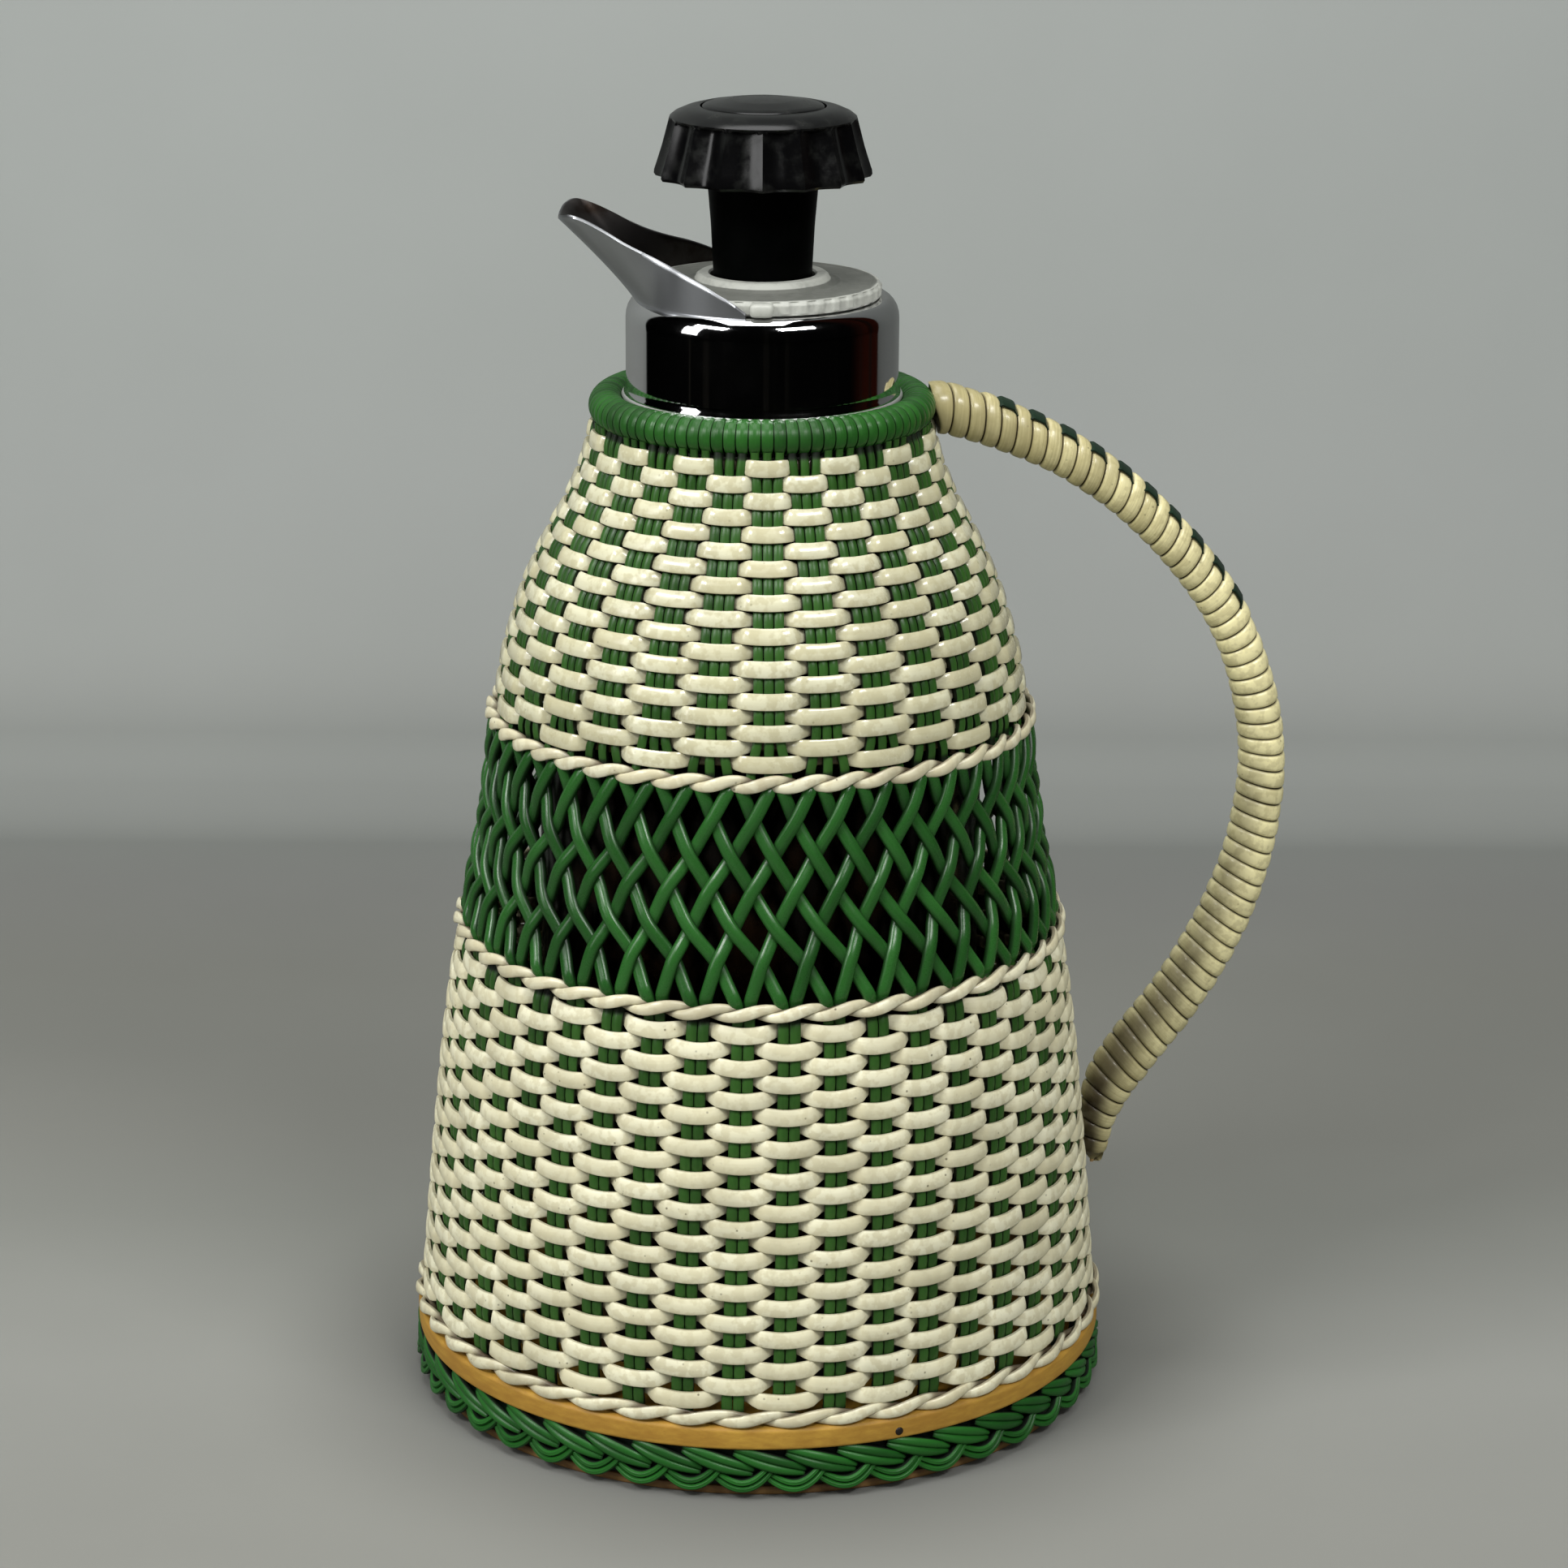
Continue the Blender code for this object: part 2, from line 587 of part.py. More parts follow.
def build_base_board(material, nail_material):
    outline = [
        (BOARD_OPENING, BOARD_BOTTOM),
        (BOARD_RADIUS, BOARD_BOTTOM),
        (BOARD_RADIUS, BOARD_TOP - BOARD_EDGE),
        (BOARD_RADIUS - BOARD_EDGE, BOARD_TOP),
        (BOARD_OPENING, BOARD_TOP),
    ]
    board = turned("base_board", outline, 36, material)
    form = bmesh.new()
    for number in range(PLATE_SCREW_COUNT):
        turn = PLATE_SCREW_TURN + number * 2.0 * math.pi / PLATE_SCREW_COUNT
        low = polar(PLATE_SCREW_CIRCLE, turn, BOARD_BOTTOM - GAP)
        high = polar(PLATE_SCREW_CIRCLE, turn, BOARD_TOP - BOARD_CAP)
        cylinder_between(form, low, high, PLATE_SCREW_SHANK + GAP, PLATE_SCREW_SHANK + GAP, 8)
    inner = polar(BOARD_RADIUS - NAIL_LENGTH - GAP, NAIL_TURN, NAIL_HEIGHT)
    outer = polar(BOARD_RADIUS + NAIL_RADIUS, NAIL_TURN, NAIL_HEIGHT)
    cylinder_between(form, inner, outer, NAIL_RADIUS + GAP, NAIL_RADIUS + GAP, 8)
    cutter("board_holes", form, board)
    nail_form = bmesh.new()
    nail_start = polar(BOARD_RADIUS - NAIL_LENGTH, NAIL_TURN, NAIL_HEIGHT)
    nail_end = polar(BOARD_RADIUS + NAIL_PROUD, NAIL_TURN, NAIL_HEIGHT)
    cylinder_between(nail_form, nail_start, nail_end, NAIL_RADIUS, NAIL_RADIUS, 8)
    add_object("edge_nail", finish_mesh(nail_form, "edge_nail"), nail_material)
    return board


# Basket

# Woven wall: one ring for each row of strips, with the points of its columns out and in by
# turns, the other way round in the next row. The edges and the inside are plain.
def build_woven_wall(name, low, high, columns, pitch, first_drop, column_turn, lean, material):
    rows = int((high - low - first_drop) / pitch) + 1
    outer = [(high, 0.0)]
    outer += [(high - first_drop - row * pitch, WEAVE_RELIEF) for row in range(rows)]
    outer.append((low, 0.0))
    inside = [(height, BASKET_WALL) for height in np.linspace(low, high, INSIDE_RINGS)]
    form = bmesh.new()
    rings = []
    for number, (height, depth) in enumerate(outer + inside):
        radius = basket_radius(height)
        start = column_turn - lean * (high - height)
        ring = []
        for column in range(columns):
            turn = start + 2.0 * math.pi * (column - columns // 2) / columns
            under = (number + column + columns // 2) % 2 == 0 or depth == BASKET_WALL
            ring.append(form.verts.new(polar(radius - (depth if under else 0.0), turn, height)))
        rings.append(ring)
    ring_faces(form, rings, wrap=True)
    return add_object(name, finish_mesh(form, name), material)


def build_twined_ring(name, low, material):
    high = low + TWINE_HEIGHT
    middle = (low + high) / 2.0
    radius = basket_radius(middle)
    outline = [
        (radius - BASKET_WALL, low),
        (radius - TWINE_SHOULDER, low),
        (radius + TWINE_PROUD, middle),
        (radius - BASKET_WALL, high),
    ]
    return turned(name, outline, STRAND_PAIRS, material)


# Open band: two sets of slanting strands, joined where they cross, with a flat outer face each
def build_lattice(material):
    low = LOWER_BAND_TOP + GAP
    high = LATTICE_TOP
    period = 2.0 * math.pi / STRAND_PAIRS
    heights = [high + (low - high) * part for part in LATTICE_CROSSINGS]
    form = bmesh.new()

    def point(turn, height, depth=0.0):
        return form.verts.new(polar(basket_radius(height) - depth, turn, height))

    rise = (high - low) / (LATTICE_DRIFT * period * basket_radius((low + high) / 2.0))
    slope = math.atan(rise)
    rows = []
    for row, height in enumerate(heights):
        half_turn = LATTICE_STRAND / 2.0 / math.sin(slope) / basket_radius(height)
        half_rise = LATTICE_STRAND / 2.0 / math.cos(slope)
        line = []
        for pair in range(STRAND_PAIRS):
            turn = -(pair + (row + 0.5) / 2.0) * period
            line.append({
                "turn": turn,
                "left": point(turn + half_turn, height),
                "right": point(turn - half_turn, height),
                "top": point(turn, height + half_rise),
                "bottom": point(turn, height - half_rise),
                "back": point(turn, height, LATTICE_DEPTH),
            })
            cross = line[-1]
            form.faces.new((cross["left"], cross["bottom"], cross["right"], cross["top"]))
        rows.append(line)

    # A strand piece has a flat front between two edges and a ridge behind it
    def strand(start_edges, start_back, end_edges, end_back):
        first_a, first_b = start_edges
        last_a, last_b = end_edges
        form.faces.new((first_a, first_b, last_b, last_a))
        form.faces.new((first_b, start_back, end_back, last_b))
        form.faces.new((start_back, first_a, last_a, end_back))

    for row in range(len(rows) - 1):
        for pair in range(STRAND_PAIRS):
            cross = rows[row][pair]
            right = rows[row + 1][pair]
            left = rows[row + 1][(pair - 1) % STRAND_PAIRS]
            strand(
                (cross["bottom"], cross["right"]), cross["back"],
                (right["left"], right["top"]), right["back"],
            )
            strand(
                (cross["left"], cross["bottom"]), cross["back"],
                (left["top"], left["right"]), left["back"],
            )

    def free_end(turn, height):
        half = LATTICE_STRAND / 2.0 / basket_radius(height)
        return (
            (point(turn + half, height), point(turn - half, height)),
            point(turn, height, LATTICE_DEPTH),
        )

    def cap(edges, back):
        form.faces.new((edges[0], edges[1], back))

    for pair in range(STRAND_PAIRS):
        cross = rows[0][pair]
        edges, back = free_end(-pair * period, high)
        strand(edges, back, (cross["left"], cross["top"]), cross["back"])
        cap(edges, back)
        edges, back = free_end(-(pair + 0.5) * period, high)
        strand(edges, back, (cross["top"], cross["right"]), cross["back"])
        cap(edges, back)
        cross = rows[-1][pair]
        meet = (pair + LATTICE_DRIFT) * period
        apart = (LATTICE_STRAND / 2.0 + GAP / 2.0) / basket_radius(low)
        edges, back = free_end(-(meet - apart), low)
        strand((cross["bottom"], cross["right"]), cross["back"], edges, back)
        cap(edges, back)
        edges, back = free_end(-(meet - period + apart), low)
        strand((cross["left"], cross["bottom"]), cross["back"], edges, back)
        cap(edges, back)
    return add_object("lattice", finish_mesh(form, "lattice"), material)


# Winding relief: an edge spiral and a crown spiral, half a wrap apart, on a path of rings.
# place(amount, angle, drop) gives the point at amount along the path, drop below full radius.
def winding_points(form, place, wraps, sides, closed):
    steps = wraps * sides
    edge_count = steps if closed else steps + 1
    crown_count = steps if closed else steps - sides + 1
    edges = []
    for step in range(edge_count):
        edges.append(form.verts.new(place(step / steps, 2.0 * math.pi * step / sides, WRAP_GROOVE)))
    crowns = []
    for step in range(crown_count):
        amount = (step + 0.5 * sides) / steps
        crowns.append(form.verts.new(place(amount, 2.0 * math.pi * step / sides, 0.0)))
    return edges, crowns


def winding_faces(form, edges, crowns, sides, closed):
    count = len(crowns) if closed else len(crowns) - 1
    for step in range(count):
        after = (step + 1) % len(crowns)
        low = (step + sides) % len(edges)
        low_after = (step + sides + 1) % len(edges)
        next_edge = (step + 1) % len(edges)
        form.faces.new((edges[step], edges[next_edge], crowns[after], crowns[step]))
        form.faces.new((crowns[step], crowns[after], edges[low_after], edges[low]))


def build_rim_hoop(material):
    def place(amount, angle, drop):
        turn = 2.0 * math.pi * amount
        tube = HOOP_TUBE - drop
        return polar(HOOP_MAJOR + tube * math.cos(angle), turn, HOOP_HEIGHT + tube * math.sin(angle))

    form = bmesh.new()
    edges, crowns = winding_points(form, place, STRAND_PAIRS, HOOP_SIDES, closed=True)
    winding_faces(form, edges, crowns, HOOP_SIDES, closed=True)
    return add_object("rim_hoop", finish_mesh(form, "rim_hoop", 80.0), material)


# Handle

# Stations as distance from the jug's axis, height and radius
def handle_stations():
    rows = []
    for off_wall, part, radius in HANDLE_STATIONS:
        height = BOARD_TOP + BASKET_HEIGHT * part
        rows.append((basket_radius(height) + off_wall, height, radius))
    return rows


def handle_frame(amount):
    stations = handle_stations()
    here = through_stations(stations, amount)
    before = through_stations(stations, amount - HANDLE_SLOPE_STEP)
    after = through_stations(stations, amount + HANDLE_SLOPE_STEP)
    outward = Vector((math.cos(HANDLE_TURN), math.sin(HANDLE_TURN), 0.0))
    side = Vector((-math.sin(HANDLE_TURN), math.cos(HANDLE_TURN), 0.0))
    along = (outward * (after[0] - before[0]) + Vector((0.0, 0.0, after[1] - before[1]))).normalized()
    away = along.cross(side).normalized()
    centre = outward * here[0] + Vector((0.0, 0.0, here[1]))
    return centre, away, side, along, here[2]


def handle_point(amount, angle, radius):
    centre, away, side, _, _ = handle_frame(amount)
    return centre + away * (radius * math.cos(angle)) + side * (radius * math.sin(angle))


# Equal steps of length along the handle, so that the wraps are evenly wide
def even_amounts(count):
    fine = [index / 400.0 for index in range(401)]
    centres = [handle_frame(amount)[0] for amount in fine]
    lengths = [0.0]
    for first, second in zip(centres, centres[1:]):
        lengths.append(lengths[-1] + (second - first).length)
    wanted = np.linspace(0.0, lengths[-1], count)
    return np.interp(wanted, lengths, fine)


def binding_bore(amount):
    return max(handle_frame(amount)[4] - HANDLE_WALL, HANDLE_BORE_LEAST)


def build_handle_binding(material):
    table = even_amounts(HANDLE_WRAPS * HANDLE_SIDES + 1)
    positions = np.linspace(0.0, 1.0, len(table))

    def place(amount, angle, drop):
        real = float(np.interp(amount, positions, table))
        return handle_point(real, angle, handle_frame(real)[4] - drop)

    form = bmesh.new()
    edges, crowns = winding_points(form, place, HANDLE_WRAPS, HANDLE_SIDES, closed=False)
    winding_faces(form, edges, crowns, HANDLE_SIDES, closed=False)
    bores = []
    for amount in even_amounts(HANDLE_RINGS):
        ring = []
        for step in range(HANDLE_SIDES):
            angle = 2.0 * math.pi * step / HANDLE_SIDES
            ring.append(form.verts.new(handle_point(amount, angle, binding_bore(amount))))
        bores.append(ring)
    ring_faces(form, bores, wrap=False)
    sides = HANDLE_SIDES
    first = bores[0]
    last = bores[-1]
    start = len(edges) - 1 - sides
    for step in range(sides):
        after = (step + 1) % sides
        form.faces.new((edges[step], first[step], first[after], edges[step + 1]))
        form.faces.new((edges[start + step], edges[start + step + 1], last[after], last[step]))
    form.faces.new((edges[0], crowns[0], edges[sides], first[0]))
    form.faces.new((edges[start], last[0], edges[-1], crowns[-1]))
    return add_object("handle_binding", finish_mesh(form, "handle_binding", 80.0), material)


# Cane core of the handle: a tube as thick as the binding's bore allows, to the hoop's surface
def build_handle_core(material):
    form = bmesh.new()
    rings = []
    for amount in even_amounts(HANDLE_RINGS):
        radius = binding_bore(amount) * math.cos(math.pi / HANDLE_SIDES) - GAP
        ring = []
        for step in range(HANDLE_SIDES):
            angle = 2.0 * math.pi * step / HANDLE_SIDES
            ring.append(form.verts.new(handle_point(amount, angle, radius)))
        rings.append(ring)
    centre, away, side, along, _ = handle_frame(0.0)
    root = centre - along * HANDLE_ROOT_REACH
    ring = []
    for step in range(HANDLE_SIDES):
        angle = 2.0 * math.pi * step / HANDLE_SIDES
        offset = (away * math.cos(angle) + side * math.sin(angle)) * HANDLE_ROOT_RADIUS
        ring.append(form.verts.new(root + offset))
    rings.insert(0, ring)
    ring_faces(form, rings, wrap=False)
    form.faces.new(rings[0])
    form.faces.new(rings[-1])
    return add_object("handle_core", finish_mesh(form, "handle_core"), material)


# Green strip laid along the outer side of the wrapping, turned a little to the front
def build_handle_leader(material):
    form = bmesh.new()
    rings = []
    for amount in np.linspace(LEADER_FROM, LEADER_TO, LEADER_RINGS):
        centre, away, side, _, radius = handle_frame(amount)
        outward = away * math.cos(LEADER_TURN) + side * math.sin(LEADER_TURN)
        sideways = side * math.cos(LEADER_TURN) - away * math.sin(LEADER_TURN)
        low = radius + GAP
        high = low + LEADER_THICKNESS
        half = LEADER_WIDTH / 2.0
        top = half - LEADER_CHAMFER
        corners = [(low, -half), (low, half), (high, top), (high, -top)]
        places = [centre + outward * out + sideways * across for out, across in corners]
        rings.append([form.verts.new(place) for place in places])
    ring_faces(form, rings, wrap=False)
    form.faces.new(rings[0])
    form.faces.new(rings[-1])
    return add_object("handle_leader", finish_mesh(form, "handle_leader"), material)


# Flask

# Outside of one glass wall from beside the bottom centre up to the lip
def flask_outline(radius, bottom, neck, lip, drop):
    shoulder = FLASK_SHOULDER - drop
    outline = [(radius * part, bottom + rise) for part, rise in FLASK_BASE_CURVE]
    outline += [(radius * part, shoulder + rise) for part, rise in FLASK_SHOULDER_CURVE]
    outline.append((neck + FLASK_NECK_FLARE, shoulder + FLASK_NECK_RISE))
    outline.append((neck, shoulder + FLASK_NECK_RISE + FLASK_NECK_BLEND))
    outline.append((neck, lip))
    return outline


def offset_inward(outline, amount):
    points = [Vector((radius, height)) for radius, height in outline]
    moved = []
    for index, point in enumerate(points):
        before = points[max(index - 1, 0)]
        after = points[min(index + 1, len(points) - 1)]
        along = (after - before).normalized()
        normal = Vector((-along.y, along.x))
        moved.append((max(point.x + normal.x * amount, 0.0), point.y + normal.y * amount))
    return moved


def build_flask(material):
    seam = FLASK_LIP - FLASK_LIP_STEP
    outer = flask_outline(FLASK_RADIUS, FLASK_BOTTOM, NECK_OUTER, seam - GAP, 0.0)
    inside = offset_inward(outer, GLASS)
    tip = [
        (0.0, FLASK_BOTTOM - FLASK_TIP),
        (FLASK_TIP_NOSE, FLASK_BOTTOM - FLASK_TIP + FLASK_TIP_SLOPE),
        (FLASK_TIP_ROOT, FLASK_BOTTOM),
    ]
    shell = tip + outer + inside[::-1] + [(0.0, FLASK_BOTTOM + GLASS + FLASK_DOME)]
    turned("flask_outer", shell, FLASK_STEPS, material, closed=False)
    inset = FLASK_GAP + GLASS
    bottom = FLASK_BOTTOM + inset
    inner = flask_outline(FLASK_RADIUS - inset, bottom, NECK_BORE + GLASS, seam, FLASK_INNER_DROP)
    hollow = offset_inward(inner, GLASS)
    lip = [
        (NECK_OUTER - GAP, seam),
        (NECK_OUTER - 2.0 * GAP, FLASK_LIP),
        (NECK_BORE, FLASK_LIP),
    ]
    cup = [(0.0, bottom)] + inner + lip + hollow[-2::-1] + [(0.0, bottom + GLASS)]
    turned("flask_inner", cup, FLASK_STEPS, material, closed=False)


def build_flask_pads(material):
    for number in range(PAD_COUNT):
        turn = PAD_TURN + number * 2.0 * math.pi / PAD_COUNT
        form = bmesh.new()
        start = polar(FLASK_RADIUS - GLASS - FLASK_GAP + GAP, turn, PAD_HEIGHT)
        end = polar(FLASK_RADIUS - GLASS - PAD_DOME_CLEARANCE, turn, PAD_HEIGHT)
        cylinder_between(form, start, end, PAD_RADIUS, PAD_RADIUS, 8)
        name = "flask_pad_%d" % (number + 1)
        add_object(name, finish_mesh(form, name), material)


def build_flask_seat(material):
    low = PLATE_THICKNESS + GAP
    outline = [
        (SEAT_INNER, low),
        (SEAT_OUTER, low),
        (SEAT_OUTER, FLASK_BOTTOM + SEAT_EDGE_RISE),
        (FLASK_RADIUS * FLASK_BASE_CURVE[0][0], FLASK_BOTTOM + SEAT_RISE),
        (SEAT_INNER, FLASK_BOTTOM + SEAT_INNER_RISE),
    ]
    return turned("flask_seat", outline, 24, material)


# Neck

def build_neck_gasket(material):
    outline = [
        (NECK_OUTER + GAP, GASKET_TOP - GASKET_GRIP),
        (NECK_OUTER + GASKET_FLARE, GASKET_BOTTOM + GASKET_SLOPE),
        (GASKET_OUTER, GASKET_BOTTOM),
        (GASKET_OUTER, GASKET_TOP),
        (NECK_OUTER + GAP, GASKET_TOP),
    ]
    return turned("neck_gasket", outline, 24, material)


def build_neck_ring(material):
    outline = [
        (RING_BORE, RING_BOTTOM),
        (RING_OUTER, RING_BOTTOM),
        (RING_OUTER, UPPER_BAND_TOP - RING_FLANGE_THICKNESS),
        (RING_FLANGE, UPPER_BAND_TOP - RING_FLANGE_THICKNESS),
        (RING_FLANGE, UPPER_BAND_TOP),
        (RING_OUTER, UPPER_BAND_TOP),
        (RING_OUTER, COLLAR_FOOT - RING_BEAD_DROP),
        (RING_BEAD_OUTER, COLLAR_FOOT + RING_BEAD_RISE - RING_BEAD_EDGE),
        (RING_BEAD_OUTER, COLLAR_FOOT + RING_BEAD_RISE),
        (RING_BEAD_INNER, COLLAR_FOOT + RING_BEAD_RISE),
        (RING_BEAD_INNER, COLLAR_FOOT - GAP),
        (RING_BORE, COLLAR_FOOT - GAP),
    ]
    return turned("neck_ring", outline, 28, material)


# Edge stations as x, half width, height and the turn of the profile's foot on the collar
def spout_stations():
    last_reach, last_half, _ = SPOUT_BEAK[-1]
    leaves = math.atan2(last_half, SPOUT_WALL_RADIUS + last_reach)
    rows = []
    for index, (reach, half, rise) in enumerate(SPOUT_BEAK):
        turn = leaves * index / (len(SPOUT_BEAK) - 1)
        rows.append((-(SPOUT_WALL_RADIUS + reach), half, COLLAR_TOP + rise, math.pi - turn))
    for turn, rise in SPOUT_WINGS:
        x = -SPOUT_WALL_RADIUS * math.cos(turn)
        half = SPOUT_WALL_RADIUS * math.sin(turn)
        rows.append((x, half, COLLAR_TOP + rise, math.pi - turn))
    return rows


# One smooth sheet between the foot on the collar and the top edge. Each profile rises evenly,
# and reaches out by the power SPOUT_LEAN of its height, so it leaves the collar upright.
def build_spout_sheet():
    foot_height = COLLAR_TOP - SPOUT_ROOT
    stations = spout_stations()
    profiles = [(along, -half, height, -turn) for along, half, height, turn in stations[:0:-1]]
    profiles += stations
    form = bmesh.new()
    grid = []
    for along, across, height, turn in profiles:
        foot = polar(SPOUT_WALL_RADIUS, turn, foot_height)
        line = []
        for row in range(SPOUT_ROWS + 1):
            part = row / SPOUT_ROWS
            reach = part ** SPOUT_LEAN
            line.append(form.verts.new((
                foot.x + (along - foot.x) * reach,
                foot.y + (across - foot.y) * reach,
                foot.z + (height - foot.z) * part,
            )))
        grid.append(line)
    for first, second in zip(grid, grid[1:]):
        for row in range(SPOUT_ROWS):
            form.faces.new((first[row], first[row + 1], second[row + 1], second[row]))
    bmesh.ops.recalc_face_normals(form, faces=form.faces)
    mesh = bpy.data.meshes.new("spout_sheet")
    form.to_mesh(mesh)
    form.free()
    sheet = add_object("spout_sheet", mesh, None)
    sheet.hide_render = True
    sheet.display_type = "WIRE"
    thicken = sheet.modifiers.new("sheet_thickness", "SOLIDIFY")
    thicken.thickness = SPOUT_SHEET
    thicken.offset = 0.0
    thicken.use_even_offset = True
    return sheet


# Block for the pouring passage, as wide as it and centred on the spout
def box_between(form, x_low, x_high, z_low, z_high):
    middle = Matrix.Translation(((x_low + x_high) / 2.0, 0.0, (z_low + z_high) / 2.0))
    size = Matrix.Diagonal((x_high - x_low, POUR_CHANNEL, z_high - z_low, 1.0))
    bmesh.ops.create_cube(form, size=1.0, matrix=middle @ size)


def build_collar(material):
    under_rim = COLLAR_TOP - COLLAR_RIM
    outline = [
        (SKIRT_OUTER - SKIRT_WALL, SKIRT_BOTTOM),
        (SKIRT_OUTER, SKIRT_BOTTOM),
        (SKIRT_OUTER, COLLAR_FOOT),
        (COLLAR_RADIUS, COLLAR_FOOT),
        *[(COLLAR_RADIUS - inwards, COLLAR_TOP - down) for inwards, down in COLLAR_SHOULDER],
        (COLLAR_BORE, COLLAR_TOP),
        (COLLAR_BORE, under_rim),
        *[(COLLAR_RADIUS - inwards, under_rim - down) for inwards, down in COLLAR_HOLLOW],
        (COLLAR_RADIUS - COLLAR_WALL, COLLAR_FOOT + COLLAR_RIM),
        (SKIRT_OUTER - SKIRT_WALL, COLLAR_FOOT + COLLAR_RIM),
    ]
    collar = turned("collar", outline, 32, material)
    union = collar.modifiers.new("spout_joined", "BOOLEAN")
    union.operation = "UNION"
    union.solver = "EXACT"
    union.object = build_spout_sheet()
    form = bmesh.new()
    inner = POUR_SLOT_INNER + POUR_SLOT_DEPTH
    box_between(form, POUR_SLOT_OUTER, inner, COLLAR_TOP - SPOUT_ROOT, COLLAR_TOP + SPOUT_ROOT)
    cutter("pour_channel", form, collar)
    return collar


# Stopper

def build_stopper_disc(material, pivot):
    base = DISC_BOTTOM
    outline = [
        (GUIDE_BORE, GUIDE_BOTTOM),
        (GUIDE_BORE + GUIDE_WALL, GUIDE_BOTTOM),
        (GUIDE_BORE + GUIDE_WALL, SOCKET_BOTTOM),
        (SOCKET_OUTER - SOCKET_WALL, DISC_FLOOR),
        (SOCKET_OUTER - SOCKET_WALL, SOCKET_BOTTOM),
        (SOCKET_OUTER, SOCKET_BOTTOM),
        (SOCKET_OUTER, DISC_BOTTOM),
        (DISC_RADIUS - DISC_UNDERCUT, DISC_BOTTOM),
        (DISC_RADIUS, DISC_BOTTOM + DISC_EDGE_LOW),
        (DISC_RADIUS, DISC_TOP - DISC_EDGE_HIGH),
        (DISC_RADIUS - DISC_EDGE_HIGH, DISC_TOP),
        (HUB_OUTER + HUB_SLOPE, DISC_TOP),
        (HUB_OUTER, HUB_TOP - HUB_EDGE),
        (HUB_OUTER - HUB_EDGE, HUB_TOP),
        (HUB_BORE, HUB_TOP),
        (HUB_BORE, STEM_BOTTOM - HUB_FLOOR_SPACE),
        (GUIDE_BORE, STEM_BOTTOM - HUB_FLOOR_SPACE),
    ]
    disc = turned("stopper_disc", outline, 30, material, base, pivot)
    lug = bmesh.new()
    lug_place = Matrix.Translation((0.0, -(DISC_RADIUS + LUG_PROUD), DISC_BOTTOM + LUG_RISE))
    lug_size = Matrix.Diagonal((LUG_WIDTH, LUG_LENGTH, LUG_HEIGHT, 1.0))
    bmesh.ops.create_cube(lug, size=1.0, matrix=lug_place @ lug_size)
    cutter("stopper_lug", lug, disc, "UNION")
    notch = bmesh.new()
    reach = -(DISC_RADIUS + SOCKET_NOTCH)
    inner = -(SOCKET_OUTER - SOCKET_NOTCH)
    box_between(notch, reach, inner, SOCKET_BOTTOM - GAP, DISC_BOTTOM + DISC_EDGE_HIGH)
    cutter("stopper_pour_notch", notch, disc)
    slot = bmesh.new()
    box_between(slot, reach, POUR_SLOT_INNER, DISC_BOTTOM, DISC_TOP + GAP)
    cutter("stopper_pour_slot", slot, disc)
    return disc


def build_valve(plug_material, seal_material, metal, pivot):
    base = PLUG_SEAT
    spindle_bore = SPINDLE_RADIUS + GAP
    head_space = SCREW_HEAD + SCREW_HEAD_SPACE
    plug = [
        (SCREW_BORE, PLUG_BOTTOM + PLUG_FLOOR),
        (head_space, PLUG_BOTTOM + PLUG_FLOOR),
        (head_space, PLUG_BOTTOM),
        (PLUG_NOSE - PLUG_NOSE_INSET, PLUG_BOTTOM),
        (PLUG_NOSE, PLUG_BOTTOM + PLUG_NOSE_SLOPE),
        (PLUG_NOSE, PLUG_SEAT),
        (PLUG_FLANGE, PLUG_SEAT),
        (PLUG_FLANGE, PLUG_SEAT + PLUG_FLANGE_EDGE),
        (PLUG_HUB, PLUG_SEAT + PLUG_FLANGE_EDGE + PLUG_FLANGE_SLOPE),
        (PLUG_HUB - PLUG_HUB_DRAFT, PLUG_SEAT + PLUG_HUB_RISE),
        (spindle_bore, PLUG_SEAT + PLUG_HUB_RISE),
        (spindle_bore, SPINDLE_BOTTOM - GAP),
        (SCREW_BORE, SPINDLE_BOTTOM - GAP),
    ]
    turned("plug", plug, 18, plug_material, base, pivot)
    seal = [
        (PLUG_NOSE + GAP, FLASK_LIP + GAP),
        (PLUG_FLANGE - GAP, FLASK_LIP + GAP),
        (PLUG_FLANGE - GAP, PLUG_SEAT - GAP),
        (PLUG_NOSE + GAP, PLUG_SEAT - GAP),
    ]
    turned("plug_seal", seal, 18, seal_material, base, pivot)
    screw = [
        (0.0, PLUG_BOTTOM + 2.0 * GAP),
        (SCREW_HEAD, PLUG_BOTTOM + 3.0 * GAP),
        (SCREW_HEAD, PLUG_BOTTOM + PLUG_FLOOR - GAP),
        (SCREW_SHANK, PLUG_BOTTOM + PLUG_FLOOR - GAP),
        (SCREW_SHANK, SPINDLE_BOTTOM + SCREW_REACH),
        (0.0, SPINDLE_BOTTOM + SCREW_REACH),
    ]
    turned("plug_screw", screw, 8, metal, base, pivot, closed=False)


# Knob

